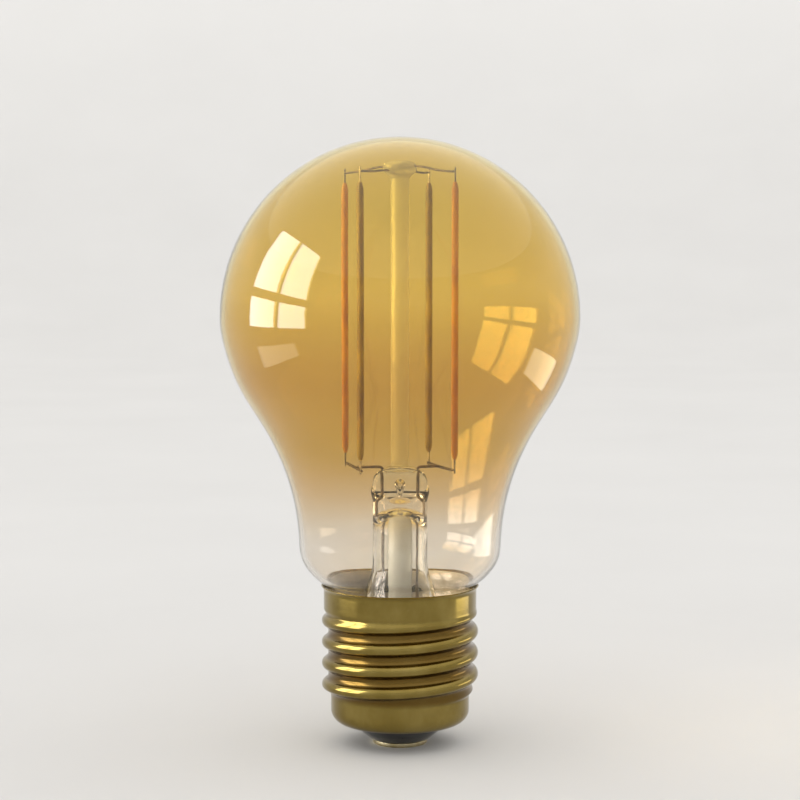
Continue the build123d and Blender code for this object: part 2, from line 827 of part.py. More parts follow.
def wifi_chip():
    return block(radio_chip_side, radio_chip_side, radio_chip_height, radio_chip_place, wifi_board_top)


def flash_chip():
    return block(flash_length, flash_width, radio_chip_height, flash_place, wifi_board_top)


def wifi_crystal():
    body = block(crystal_length, crystal_width, crystal_height, crystal_place, wifi_board_top)
    return fillet(body.edges().filter_by(Axis.Z), crystal_round)


def antenna_wire():
    # Stands behind the exhaust tube, inside the glass flare, clear of the brass cap.
    gap = (exhaust_radius + flare_radius - flare_wall) / 2
    return post(antenna_radius, (0, gap), wifi_board_top, antenna_top)


# Wires from the cap to the driver

def live_wire():
    low = pin_top()
    middle = (low + driver_board_height) / 2
    return round_wire(
        [(0, 0, low), (0, 0, middle), (live_place, 0, middle), (live_place, 0, driver_board_height)],
        feed_wire_radius, feed_bend)


def neutral_height():
    return driver_board_top + neutral_rise


def neutral_wire():
    # Rises from the board's edge and turns out to the shell.
    foot = board_radius - board_margin - feed_wire_radius - feed_bend
    stop = bore_radius - seat_gap
    x, y = math.cos(math.radians(neutral_angle)), math.sin(math.radians(neutral_angle))
    height = neutral_height()
    points = [
        (foot * x, foot * y, driver_board_top),
        (foot * x, foot * y, height),
        (stop * x, stop * y, height),
    ]
    return round_wire(points, feed_wire_radius, feed_bend)


def neutral_solder():
    # A bead that joins the neutral wire to the inside of the shell.
    x, y = math.cos(math.radians(neutral_angle)), math.sin(math.radians(neutral_angle))
    bead = Pos(bore_radius * x, bore_radius * y, neutral_height()) * Sphere(joint_radius)
    return (bead & ring(bore_radius - layer_gap, 0, 0, cap_height)) - neutral_wire()


def build_nodes():
    nodes = {
        "glass_envelope": glass_envelope(),
        "stem_flare": stem_flare(),
        "exhaust_tube": exhaust_tube(),
        "centre_rod": centre_rod(),
        "cap_shell": cap_shell(),
        "cap_insulator": cap_insulator(),
        "centre_contact": centre_contact(),
        "contact_pin": contact_pin(),
        "cap_cement": cap_cement(),
        "driver_board": driver_board(),
        "bulk_capacitor": bulk_capacitor(),
        "capacitor_sleeve": capacitor_sleeve(),
        "choke_core": choke_core(),
        "choke_winding": choke_winding(),
        "film_capacitor": film_capacitor(),
        "fuse_resistor": fuse_resistor(),
        "bridge_rectifier": bridge_rectifier(),
        "chip_resistors": small_parts(resistor_places, driver_board_top, small_part_height),
        "chip_capacitors": small_parts(small_capacitor_places, wifi_board_top, small_part_width),
        "header_pins": header_pins(),
        "board_solder": board_solder(),
        "wifi_board": wifi_board(),
        "wifi_chip": wifi_chip(),
        "flash_chip": flash_chip(),
        "wifi_crystal": wifi_crystal(),
        "antenna_wire": antenna_wire(),
        "live_wire": live_wire(),
        "neutral_wire": neutral_wire(),
        "neutral_solder": neutral_solder(),
    }
    for colour in ("warm", "cool"):
        nodes["top_link_" + colour] = top_link(colour)
        nodes[colour + "_driver_chip"] = driver_chip(colour)
    for side in ("left", "right"):
        nodes["foot_bar_" + side] = foot_bar(side)
        nodes["lead_wire_" + side] = lead_wire(side)
    for name in filament_places:
        nodes[name + "_coat"] = filament_coat(name)
        nodes[name + "_substrate"] = filament_substrate(name)
        nodes[name + "_chips"] = filament_chips(name)
        nodes[name + "_tabs"] = filament_tabs(name)
    return nodes


os.makedirs("parts", exist_ok=True)
for node_name, shape in build_nodes().items():
    export_step(shape, "parts/" + node_name + ".step")
    print(node_name, len(shape.solids()), round(shape.volume, 3))
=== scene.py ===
import math
import bpy
import bmesh
import numpy as np
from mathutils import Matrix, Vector


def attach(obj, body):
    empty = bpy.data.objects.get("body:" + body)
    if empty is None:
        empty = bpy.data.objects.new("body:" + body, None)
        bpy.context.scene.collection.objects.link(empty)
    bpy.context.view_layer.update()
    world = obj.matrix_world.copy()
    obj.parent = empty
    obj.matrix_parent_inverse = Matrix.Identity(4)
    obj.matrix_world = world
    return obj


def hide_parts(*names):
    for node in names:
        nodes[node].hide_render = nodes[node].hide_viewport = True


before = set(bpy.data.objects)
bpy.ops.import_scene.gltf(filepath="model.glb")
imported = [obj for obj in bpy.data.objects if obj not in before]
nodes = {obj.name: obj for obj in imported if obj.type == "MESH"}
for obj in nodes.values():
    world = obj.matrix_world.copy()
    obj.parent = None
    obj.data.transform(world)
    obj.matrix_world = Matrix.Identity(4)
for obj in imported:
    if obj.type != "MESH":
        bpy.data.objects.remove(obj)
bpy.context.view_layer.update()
mm = 0.001
print("frame loaded:", len(nodes), "nodes")


# shader maths
class Value:
    # wraps a node socket, so that an expression builds the nodes that work it out
    def __init__(self, shader, socket):
        self.shader = shader
        self.socket = socket

    def work(self, how, other):
        return self.shader.add("ShaderNodeMath", {"operation": how}, {0: self, 1: other}, "Value")

    def __add__(self, other):
        return self.work("ADD", other)

    def __sub__(self, other):
        return self.work("SUBTRACT", other)

    def __mul__(self, other):
        return self.work("MULTIPLY", other)

    def __truediv__(self, other):
        return self.work("DIVIDE", other)

    def __pow__(self, other):
        return self.work("POWER", other)


class Shader:
    def __init__(self, name):
        self.material = bpy.data.materials.new(name)
        self.material.use_nodes = True
        self.tree = self.material.node_tree
        self.bsdf = self.tree.nodes["Principled BSDF"]
        self.output = self.tree.nodes["Material Output"]
        self.place = self.add("ShaderNodeTexCoord", {}, {}, "Object")

    def add(self, kind, settings, values, out=0):
        # settings first, then the sockets' values or links
        node = self.tree.nodes.new(kind)
        for key, value in settings.items():
            if key == "stops":
                while len(node.color_ramp.elements) < len(value):
                    node.color_ramp.elements.new(1.0)
                for element, (at, colour) in zip(node.color_ramp.elements, value):
                    element.position = at
                    element.color = (*colour, 1.0)
            else:
                setattr(node, key, value)
        for key, value in values.items():
            if isinstance(value, Value):
                self.tree.links.new(value.socket, node.inputs[key])
            else:
                node.inputs[key].default_value = value
        return Value(self, node.outputs[out])

    def split(self, vector, axis):
        return self.add("ShaderNodeSeparateXYZ", {}, {0: vector}, axis)

    def sine(self, value):
        return self.add("ShaderNodeMath", {"operation": "SINE"}, {0: value})

    def noise(self, scale, detail=4.0, rough=0.5, stretch=(1, 1, 1)):
        where = self.add("ShaderNodeMapping", {}, {"Vector": self.place, "Scale": stretch})
        return self.add("ShaderNodeTexNoise", {}, {
            "Vector": where, "Scale": scale, "Detail": detail, "Roughness": rough}, "Fac")

    def cells(self, scale):
        return self.add("ShaderNodeTexVoronoi", {}, {"Vector": self.place, "Scale": scale}, "Distance")

    def span(self, value, low, high, toLow=0.0, toHigh=1.0):
        return self.add("ShaderNodeMapRange", {"clamp": True, "interpolation_type": "SMOOTHSTEP"}, {
            "Value": value, "From Min": low, "From Max": high, "To Min": toLow, "To Max": toHigh},
            "Result")

    def ramp(self, value, stops):
        return self.add("ShaderNodeValToRGB", {"stops": stops}, {0: value}, "Color")

    def blend(self, amount, first, second):
        node = self.tree.nodes.new("ShaderNodeMix")
        node.data_type = "RGBA"
        for key, value in ((0, amount), (6, first), (7, second)):
            if isinstance(value, Value):
                self.tree.links.new(value.socket, node.inputs[key])
            else:
                node.inputs[key].default_value = (*value, 1.0) if isinstance(value, tuple) else value
        return Value(self, node.outputs[2])

    def bump(self, height, depth, strength=1.0):
        return self.add("ShaderNodeBump", {}, {
            "Height": height, "Distance": depth, "Strength": strength}, "Normal")

    def finish(self, **sockets):
        for key, value in sockets.items():
            name = key.replace("_", " ")
            if isinstance(value, Value):
                self.tree.links.new(value.socket, self.bsdf.inputs[name])
            elif self.bsdf.inputs[name].type == "RGBA":
                self.bsdf.inputs[name].default_value = (*value, 1.0)
            else:
                self.bsdf.inputs[name].default_value = value
        return self.material

    def letLightThrough(self, tint):
        # glass that stays see-through for shadows
        lamp = self.add("ShaderNodeLightPath", {}, {}, "Is Shadow Ray")
        clear = self.add("ShaderNodeBsdfTransparent", {}, {"Color": (*tint, 1.0)}, "BSDF")
        mix = self.tree.nodes.new("ShaderNodeMixShader")
        self.tree.links.new(lamp.socket, mix.inputs[0])
        self.tree.links.new(self.bsdf.outputs[0], mix.inputs[1])
        self.tree.links.new(clear.socket, mix.inputs[2])
        self.tree.links.new(mix.outputs[0], self.output.inputs["Surface"])
        return self.material


# mesh making, in millimetres
def smoothLine(points, perSpan=8, startWay=None, endWay=None):
    # a smooth curve through the points, with even curvature from span to span
    p = np.array(points, float)
    h = np.linalg.norm(np.diff(p, axis=0), axis=1)
    slope = np.diff(p, axis=0) / h[:, None]
    n = len(p)
    system = np.zeros((n, n))
    right = np.zeros((n, p.shape[1]))
    for i in range(1, n - 1):
        system[i, i - 1:i + 2] = h[i], 2 * (h[i - 1] + h[i]), h[i - 1]
        right[i] = 3 * (h[i] * slope[i - 1] + h[i - 1] * slope[i])
    for row, near, way, chord in ((0, 1, startWay, slope[0]), (n - 1, n - 2, endWay, slope[-1])):
        system[row, row] = 1
        if way is None:
            system[row, row], system[row, near] = 2, 1
            right[row] = 3 * chord
        else:
            right[row] = np.array(way, float) / np.linalg.norm(way)
    tangent = np.linalg.solve(system, right)
    line = []
    for i in range(n - 1):
        for k in range(perSpan):
            t = k / perSpan
            line.append(tuple(
                (2 * t ** 3 - 3 * t ** 2 + 1) * p[i] + (t ** 3 - 2 * t ** 2 + t) * h[i] * tangent[i]
                + (3 * t ** 2 - 2 * t ** 3) * p[i + 1] + (t ** 3 - t ** 2) * h[i] * tangent[i + 1]))
    line.append(tuple(p[-1]))
    return line


def arcLine(centre, radius, start, end, count):
    # points on an arc from one angle to the other, in degrees
    return [(centre[0] + radius * math.cos(math.radians(start + (end - start) * k / count)),
             centre[1] + radius * math.sin(math.radians(start + (end - start) * k / count)))
            for k in range(count + 1)]


def offsetLine(line, inset):
    # the same line moved to its left hand side
    p = np.array(line, float)
    way = np.gradient(p, axis=0)
    way /= np.linalg.norm(way, axis=1)[:, None]
    return [tuple(q) for q in p + inset * np.stack([-way[:, 1], way[:, 0]], 1)]


def dropRepeats(line):
    kept = [line[0]]
    for q in line[1:]:
        if math.dist(q, kept[-1]) > 1e-4:
            kept.append(q)
    return kept


def roundOff(before, corner, after, radius, count):
    # the curve that takes the place of one corner
    back = (before - corner) / np.linalg.norm(before - corner)
    on = (after - corner) / np.linalg.norm(after - corner)
    half = math.acos(float(np.clip(back @ on, -1, 1))) / 2
    reach = radius / math.tan(half)
    first, last = corner + back * reach, corner + on * reach
    return [tuple((1 - t) ** 2 * first + 2 * t * (1 - t) * corner + t ** 2 * last)
            for t in (k / count for k in range(count + 1))]


def roundCorners(corners, radii, count=6):
    # a closed outline with its corners rounded
    p = [np.array(q, float) for q in corners]
    line = []
    for i, radius in enumerate(radii):
        if radius > 0:
            line += roundOff(p[i - 1], p[i], p[(i + 1) % len(p)], radius, count)
        else:
            line.append(tuple(p[i]))
    return line


def bendPath(points, bend, count=8):
    # straight runs with rounded bends
    p = [np.array(q, float) for q in points]
    line = [tuple(p[0])]
    for before, corner, after in zip(p, p[1:], p[2:]):
        line += roundOff(before, corner, after, bend, count)
    line.append(tuple(p[-1]))
    return dropRepeats(line)


def addPiece(name, bm, material, standsFor, slot, sharp=None, mend=True):
    # mend turns all faces outward, so a piece with a void in it leaves that out
    if mend:
        bmesh.ops.remove_doubles(bm, verts=bm.verts, dist=1e-8)
        bmesh.ops.recalc_face_normals(bm, faces=bm.faces)
    mesh = bpy.data.meshes.new(name)
    bm.to_mesh(mesh)
    bm.free()
    mesh.polygons.foreach_set("use_smooth", [True] * len(mesh.polygons))
    if sharp is not None:
        mesh.set_sharp_from_angle(angle=math.radians(sharp))
    mesh.materials.append(material)
    piece = bpy.data.objects.new(name, mesh)
    bpy.context.scene.collection.objects.link(piece)
    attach(piece, "root")
    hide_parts(*standsFor)


def skinRings(bm, rings):
    # faces between neighbouring rings, and one across each end
    for low, high in zip(rings, rings[1:]):
        for i in range(len(low)):
            j = (i + 1) % len(low)
            bm.faces.new((low[i], low[j], high[j], high[i]))
    bm.faces.new(rings[0][::-1])
    bm.faces.new(rings[-1])


def latheInto(bm, outline, around, closed, shape=None):
    # turns (radius, height) points round the lamp's axis; shape may move each point
    rings = []
    for k, (r, z) in enumerate(outline):
        if r < 1e-6:
            rings.append([bm.verts.new((0, 0, z * mm))])
            continue
        ring = []
        for i in range(around):
            a = 2 * math.pi * i / around
            rr, zz = shape(a, r, z, k) if shape else (r, z)
            ring.append(bm.verts.new((rr * math.cos(a) * mm, rr * math.sin(a) * mm, zz * mm)))
        rings.append(ring)
    pairs = list(zip(rings, rings[1:])) + ([(rings[-1], rings[0])] if closed else [])
    for low, high in pairs:
        for i in range(around):
            j = (i + 1) % around
            if len(low) == 1 and len(high) == 1:
                continue
            if len(low) == 1:
                bm.faces.new((low[0], high[j], high[i]))
            elif len(high) == 1:
                bm.faces.new((low[i], low[j], high[0]))
            else:
                bm.faces.new((low[i], low[j], high[j], high[i]))
    return bm


def lathe(name, outline, material, around, closed, shape=None, **options):
    addPiece(name, latheInto(bmesh.new(), outline, around, closed, shape), material, **options)


def tube(path, radii, around=14):
    # a round rod along a path, with one radius or a radius for each point
    bm = bmesh.new()
    p = np.array(path, float)
    radii = np.broadcast_to(radii, len(p))
    way = np.gradient(p, axis=0)
    way /= np.linalg.norm(way, axis=1)[:, None]
    side = np.cross(way[0], (0, 0, 1)) if abs(way[0][2]) < 0.9 else np.cross(way[0], (0, 1, 0))
    side /= np.linalg.norm(side)
    rings = []
    for k, radius in enumerate(radii):
        side = side - way[k] * (side @ way[k])
        side /= np.linalg.norm(side)
        up = np.cross(way[k], side)
        ring = []
        for i in range(around):
            a = 2 * math.pi * i / around
            q = p[k] + radius * (math.cos(a) * side + math.sin(a) * up)
            ring.append(bm.verts.new(tuple(q * mm)))
        rings.append(ring)
    skinRings(bm, rings)
    return bm


# the glass bulb
bulb = {
    "radius": 30.0,
    "length": 102.0,
    "wall": 0.8,
    "neckRadius": 17.0,
    "neckHeight": 35.0,
    "shoulderRadius": 16.55,
    "shoulderHeight": 31.6,
    "sealRadius": 11.61,
    "sealHeight": 21.2,
    "rimHeight": 27.0,
    "swell": ((0.170, 0.064), (0.341, 0.212), (0.514, 0.456), (0.684, 0.749), (0.854, 0.932)),
    "crown": (0.81, 0.66, 0.24),        # tints of one wall, from the top down
    "upper": (0.905, 0.72, 0.278),
    "amber": (0.745, 0.54, 0.214),
    "lower": (0.745, 0.57, 0.24),
    "waist": (0.81, 0.655, 0.43),
    "neck": (0.91, 0.865, 0.80),        # nearly clear and faintly pink at the cap
    "shadow": (0.985, 0.95, 0.84),
}


def bulbOutline():
    b = bulb
    widest = b["length"] - b["radius"]
    rise = widest - b["neckHeight"]
    spread = b["radius"] - b["neckRadius"]
    drop = b["shoulderHeight"] - b["rimHeight"]
    inward = b["shoulderRadius"] - b["sealRadius"]
    side = [(b["radius"], widest)]
    side += [(b["neckRadius"] + spread * out, b["neckHeight"] + rise * up)
             for up, out in reversed(b["swell"])]
    side += [
        (b["neckRadius"], b["neckHeight"]),
        (b["shoulderRadius"], b["shoulderHeight"]),
        (b["sealRadius"] + inward * 0.5, b["rimHeight"] + drop * 0.27),
        (b["sealRadius"] + inward * 0.18, b["rimHeight"] - drop * 0.05),
        (b["sealRadius"], b["rimHeight"] - drop * 0.5),
    ]
    dome = arcLine((0, widest), b["radius"], 90, 0, 48)
    dome[0] = (0.0, b["length"])
    line = dome[:-1] + smoothLine(side, 9, (0, -1), (0, -1))
    line.append((b["sealRadius"], b["sealHeight"]))
    return dropRepeats(line)


def bulbGlass():
    b = bulb
    s = Shader("amber bulb glass")
    height = s.split(s.place, "Z")
    tone = s.ramp(s.span(height, 0.0, b["length"] * mm), (
        (0.27, b["neck"]), (0.40, b["waist"]), (0.50, b["lower"]), (0.66, b["amber"]),
        (0.84, b["upper"]), (1.0, b["crown"])))
    cloud = s.noise(34.0, 3.0, 0.55)
    tone = s.blend(s.span(cloud, 0.35, 0.75, 0.0, 0.16), tone, (0.86, 0.62, 0.27))
    ripple = s.noise(26.0, 2.0, 0.4, (1, 1, 0.35))
    fleck = s.noise(900.0, 2.0, 0.5)
    film = s.noise(60.0, 4.0, 0.6)
    normal = s.bump(ripple + fleck * 0.004, 0.0004, 0.55)
    s.finish(
        Base_Color=tone, Roughness=s.span(film, 0.3, 0.9, 0.0, 0.028), IOR=1.47,
        Transmission_Weight=1.0, Normal=normal)
    return s.letLightThrough(b["shadow"])


def makeBulb():
    outer = bulbOutline()
    inner = offsetLine(outer, -bulb["wall"])
    inner[0] = (0.0, bulb["length"] - bulb["wall"])
    inner = [(max(r, 0.0), z) for r, z in inner]
    inner[-1] = (bulb["sealRadius"] - bulb["wall"], bulb["sealHeight"])
    bm = latheInto(bmesh.new(), dropRepeats(outer + inner[::-1]), 160, False)
    addPiece("bulb_glass_shell", bm, bulbGlass(), standsFor=["glass_envelope"], slot="bulb_glass")


makeBulb()
print("bulb made")


# the glass stem: flare, press, rod and exhaust tube
stem = {
    "flareRadius": 4.6,
    "wall": 0.7,
    "rimRadius": 10.79,
    "rimHeight": 22.5,
    "rimBottom": 21.2,
    "flareHeight": 31.5,
    "pressFoot": 41.2,
    "pressTop": 47.28,
    "pressHalf": 4.95,
    "pressFlat": 0.46,          # depth of the press against its width
    "pressCrown": ((2.3, 47.05), (3.5, 46.5), (4.45, 45.5)),
    "pressWidest": (43.9, 42.6),
    "pressMouth": 1.62,
    "gripped": (43.1, 46.3),    # heights between which the press is pinched to its full
    "dent": (44.4, 0.9, 0.05),  # height, spread and depth of the jaw marks
    "skirtCurve": ((5.25, 27.4), (7.3, 24.1)),
    "barrel": (34.0, 36.0),     # heights on the straight part, inside and outside
    "domeHeight": 40.2,
    "portFoot": 40.9,
    "portHeight": 44.2,
    "tubeRadius": 2.05,
    "tubeBore": 1.25,
    "tubeTip": 20.3,
    "tubeTop": 39.55,
    "tubeMiddle": 30.0,
    "tubeFloor": 0.3,           # how much thicker the closed tip is than the wall
    "rodRadius": 1.55,
    "rodFoot": 47.3,
    "buttonRadius": 2.8,
    "buttonNeck": 94.9,
    "buttonTop": 98.1,
}


def clearGlass(name, tint, dull, streak, rough=0.0, clear=1.0):
    s = Shader(name)
    pull = s.noise(220.0, 3.0, 0.5, (1, 1, 0.06))       # draw lines that run along the glass
    lump = s.noise(150.0, 2.0, 0.4)
    haze = s.noise(420.0, 4.0, 0.6)
    s.finish(
        Base_Color=s.blend(s.span(haze, 0.35, 0.8, 0.0, 0.5), tint, dull),
        Roughness=s.span(haze, 0.3, 0.9, rough, rough + 0.05), IOR=1.53, Transmission_Weight=clear,
        Normal=s.bump(pull * 0.5 + lump, 0.0005, streak))
    return s.letLightThrough((0.93, 0.93, 0.91))


def ovalRadius(angle, half, flat, square):
    # distance to the edge of a squared-off oval at this angle
    return ((abs(math.cos(angle)) / half) ** square
            + (abs(math.sin(angle)) / (half * flat)) ** square) ** (-1 / square)


def ease(value, low, high):
    # a soft step from 0 to 1
    t = min(1.0, max(0.0, (value - low) / (high - low)))
    return t * t * (3 - 2 * t)


def makeFlare(glass):
    st = stem
    half = st["pressHalf"]
    high, low = st["pressWidest"]
    top = smoothLine([
        (st["pressMouth"], st["pressTop"]), *st["pressCrown"], (half, high), (half * 0.985, low),
        (st["flareRadius"], st["pressFoot"])], 5, (1, -0.1), (0, -1))
    skirt = smoothLine([
        (st["flareRadius"], st["flareHeight"]), *st["skirtCurve"], (st["rimRadius"], st["rimHeight"])],
        8, (0, -1), (1, -0.12))
    barrelIn, barrelOut = st["barrel"]
    outer = [(0.0, st["pressTop"])] + top + [(st["flareRadius"], barrelOut)] + skirt
    outer.append((st["rimRadius"], st["rimBottom"]))
    roof = st["flareRadius"] - st["wall"]
    hollow = offsetLine(skirt, -st["wall"])
    hollow = [q for q in hollow if q[1] > st["rimBottom"]]
    inner = [(0.0, st["domeHeight"])] + arcLine((0, st["domeHeight"] - roof), roof, 80, 0, 8)
    inner += [(roof, barrelIn)] + hollow
    inner[-1] = (st["rimRadius"] - st["wall"], st["rimBottom"])

    gripLow, gripHigh = st["gripped"]
    dentHeight, dentSpread, dentDepth = st["dent"]

    def shape(angle, r, z, k):
        # the press is pinched flat, and its sides are squared and dented by the jaws
        if k >= len(outer) or z <= st["pressFoot"]:
            return r, z
        grip = ease(z, st["pressFoot"], gripLow) * (1 - ease(z, gripHigh, st["pressTop"] - 0.1))
        flat = 1 - (1 - st["pressFlat"]) * grip
        fade = math.exp(-((z - dentHeight) / dentSpread) ** 2)
        dent = 1 - dentDepth * grip * fade * math.cos(2 * angle) ** 2
        return ovalRadius(angle, r, flat, 2 + 1.3 * grip) * dent, z

    bm = latheInto(bmesh.new(), dropRepeats(outer + inner[::-1]), 96, False, shape)
    bmesh.ops.recalc_face_normals(bm, faces=bm.faces)
    joinVoid(bm, exhaustPort())
    addPiece("stem_flare_glass", bm, glass, ["stem_flare"], "stem_glass", 50, False)


def exhaustPort():
    # the hole up from the dome that turns and comes out of the front of the press
    turn = stem["portHeight"]
    path = bendPath([(0, 0, stem["portFoot"]), (0, 0, turn), (0, -1.5, turn + 0.1)], 0.7)
    along = np.linspace(0, 1, len(path))
    hole = tube(path, np.interp(along, [0, 0.1, 0.5, 0.85, 1], [0.25, 0.7, 0.8, 0.95, 0.35]), 20)
    bmesh.ops.recalc_face_normals(hole, faces=hole.faces)
    bmesh.ops.reverse_faces(hole, faces=hole.faces)
    return hole


def joinVoid(bm, void):
    # adds the faces of a void, which already look into it
    spare = bpy.data.meshes.new("void")
    void.to_mesh(spare)
    void.free()
    bm.from_mesh(spare)
    bpy.data.meshes.remove(spare)


def makeExhaustTube(glass):
    st = stem
    tip, top = st["tubeTip"], st["tubeTop"]
    r, bore = st["tubeRadius"], st["tubeBore"]
    centre = tip + r + st["tubeFloor"]
    wall = arcLine((0, tip + r), r, -90, 0, 10)
    wall[0] = (0.0, tip)
    wall += [(r, st["tubeMiddle"]), (r, top - 0.25), (r - 0.25, top), (bore + 0.15, top)]
    wall += [(bore, top - 0.2), (bore, st["tubeMiddle"])]
    wall += arcLine((0, centre), bore, 0, -90, 8)
    wall[-1] = (0.0, centre - bore)
    lathe("exhaust_tube_glass", dropRepeats(wall), glass, 64, False, standsFor=["exhaust_tube"],
          slot="stem_glass")


def makeRod(glass):
    # the rod and the button at its top
    st = stem
    r, foot = st["rodRadius"], st["rodFoot"]
    neck, top, wide = st["buttonNeck"], st["buttonTop"], st["buttonRadius"]
    button = smoothLine([
        (r, neck), (r + 0.22, neck + 0.5), (wide - 0.42, neck + 1.0), (wide, neck + 1.75),
        (wide - 0.04, neck + 2.35), (wide - 0.62, top - 0.32), (1.1, top - 0.05)],
        6, (0, 1), (-1, 0.05))
    rod = [(0.0, foot + 0.02), (r - 0.1, foot + 0.02), (r, foot + 0.14)]
    rod += [(r, z) for z in np.arange(foot + 0.7, neck, 2.0)]
    rod += button + [(0.0, top)]

    def wobble(angle, r, z, k):
        # drawn by hand, so not quite even
        return r * (1 + 0.006 * math.sin(z * 0.35) + 0.004 * math.sin(z * 1.1 + angle)), z

    lathe("centre_rod_glass", dropRepeats(rod), glass, 64, False, wobble, standsFor=["centre_rod"],
          slot="stem_glass")


def makeStem():
    clear = clearGlass("clear stem glass", (0.985, 0.985, 0.965), (0.86, 0.85, 0.78), 0.5)
    milky = clearGlass("drawn rod glass", (0.99, 0.985, 0.97), (0.93, 0.915, 0.87), 0.4, 0.06, 0.5)
    makeFlare(clear)
    makeExhaustTube(milky)
    makeRod(milky)


makeStem()
print("stem made")


# wires that hold and feed the filaments
wiring = {
    "lead": 0.25,
    "leadOffset": 2.85,
    "link": 0.2,
    "bar": 0.24,
    "barHeight": 47.2,
    "barSag": 0.06,
    "leadHeights": (24.0, 33.0, 40.5),
    "boardTop": 10.4,
    "warmHeight": 97.0,
    "warmDip": 0.9,
    "coolHeight": 96.35,
    "coolDip": 0.15,
    "linkShoulder": 4.0,
    "places": {
        "warm_left": (-9.3, 5.0),
        "cool_left": (-6.5, -6.5),
        "cool_right": (4.9, 6.5),
        "warm_right": (9.0, -5.0),
    },
    "tabWidth": 0.42,
    "tabDepth": 0.14,
}


def wireMetal():
    s = Shader("dark nickel wire")
    patch = s.noise(700.0, 5.0, 0.6)
    scrape = s.noise(1500.0, 3.0, 0.5, (1, 1, 0.2))
    tone = s.ramp(patch, (
        (0.25, (0.055, 0.043, 0.035)), (0.5, (0.17, 0.14, 0.115)), (0.62, (0.24, 0.17, 0.12)),
        (0.8, (0.38, 0.36, 0.34))))
    return s.finish(
        Base_Color=tone, Metallic=s.span(patch, 0.3, 0.6, 0.75, 1.0),
        Roughness=s.span(patch, 0.25, 0.75, 0.55, 0.28), Normal=s.bump(scrape, 0.00002, 0.6))


def tabMetal():
    s = Shader("plated tab strip")
    patch = s.noise(900.0, 4.0, 0.55)
    roll = s.noise(2600.0, 2.0, 0.5, (1, 1, 0.05))
    tone = s.ramp(patch, (
        (0.3, (0.13, 0.11, 0.09)), (0.55, (0.22, 0.195, 0.16)), (0.8, (0.36, 0.34, 0.3))))
    return s.finish(
        Base_Color=tone, Metallic=1.0, Roughness=s.span(patch, 0.3, 0.8, 0.42, 0.24),
        Normal=s.bump(roll, 0.00002, 0.5))


def beside(name, height, extra):
    # a point just inside a filament's tab, on the side that faces the rod
    x, y = wiring["places"][name]
    reach = math.hypot(x, y)
    near = reach - wiring["tabDepth"] / 2 - extra
    return (x / reach * near, y / reach * near, height)


def makeWires():
    w = wiring
    metal = wireMetal()
    for colour in ("warm", "cool"):
        height, dip = w[colour + "Height"], w[colour + "Dip"]
        left = beside(colour + "_left", height - dip, 0.0)
        right = beside(colour + "_right", height - dip, 0.0)
        near = [w["linkShoulder"] / math.hypot(q[0], q[1]) for q in (left, right)]
        inner = [(q[0] * part, q[1] * part, height) for q, part in zip((left, right), near)]
        sag = [tuple((np.array(a) * 0.45 + np.array(b) * 0.55) - (0, 0, s))
               for a, b, s in ((left, inner[0], 0.1), (right, inner[1], 0.16))]
        path = smoothLine([left, sag[0], inner[0], (0, 0, height), inner[1], sag[1], right], 8)
        addPiece("top_wire_" + colour, tube(path, w["link"] * 0.92, 12), metal,
                 standsFor=["top_link_" + colour], slot="wire")
    for side in ("left", "right"):
        warm = beside("warm_" + side, w["barHeight"], w["bar"])
        cool = beside("cool_" + side, w["barHeight"], w["bar"])
        middle = tuple((np.array(warm) + np.array(cool)) / 2)
        bow = (middle[0] * 0.985, middle[1], middle[2] - w["barSag"])
        path = smoothLine([warm, bow, cool], 14)
        radii = np.full(len(path), w["bar"])
        radii[0] = radii[-1] = w["bar"] * 0.8
        addPiece("foot_wire_" + side, tube(path, radii), metal,
                 standsFor=["foot_bar_" + side], slot="wire")
        x = -w["leadOffset"] if side == "left" else w["leadOffset"]
        away = np.array(middle[:2]) - np.array((x, 0.0))
        stop = np.array(middle[:2]) - away / np.linalg.norm(away) * w["bar"]
        rim, flare, press = w["leadHeights"]
        path = bendPath([
            (x, 0, w["boardTop"]), (x, 0, rim), (x * 1.03, 0.1, flare), (x, 0, press),
            (x, 0, w["barHeight"]), (stop[0], stop[1], w["barHeight"])], 0.8)
        addPiece("lead_in_wire_" + side, tube(path, w["lead"] * 0.94), metal,
                 standsFor=["lead_wire_" + side], slot="wire")


makeWires()
print("wires made")


# the LED filaments
filament = {
    "width": 1.15,
    "depth": 1.05,
    "low": 49.05,
    "high": 94.45,
    "taper": 1.5,
    "tabLow": 46.65,
    "tabHigh": 96.85,
    "tabOverlap": 0.6,
    "tabRound": 0.2,
    "weldDimple": 0.02,
    "warm": ((0.52, 0.225, 0.003), (0.62, 0.29, 0.005), (0.70, 0.36, 0.012)),
    "cool": ((0.27, 0.185, 0.005), (0.34, 0.24, 0.008), (0.43, 0.32, 0.02)),
}


def phosphor(colour):
    dark, mid, light = filament[colour]
    s = Shader(colour + " phosphor silicone")
    grain = s.noise(2600.0, 4.0, 0.6)
    swell = s.noise(420.0, 2.0, 0.5, (1, 1, 0.35))
    dots = s.cells(5200.0)
    tone = s.ramp(s.span(swell, 0.3, 0.7), ((0.0, dark), (0.45, mid), (1.0, light)))
    tone = s.blend(s.span(dots, 0.12, 0.3, 0.22, 0.0), tone, light)
    return s.finish(
        Base_Color=tone, Roughness=s.span(grain, 0.3, 0.8, 0.34, 0.6), IOR=1.41,
        Subsurface_Weight=0.2, Subsurface_Radius=(0.0012, 0.0006, 0.0002), Subsurface_Scale=0.3,
        Coat_Weight=0.06, Coat_Roughness=0.25,
        Normal=s.bump(swell + grain * 0.12, 0.0003, 0.55))


def turned(x, y, out, u, v, z):
    # a point across (u) and outward (v) from a filament's axis, in metres
    return ((x - u * math.sin(out) + v * math.cos(out)) * mm,
            (y + u * math.cos(out) + v * math.sin(out)) * mm, z * mm)


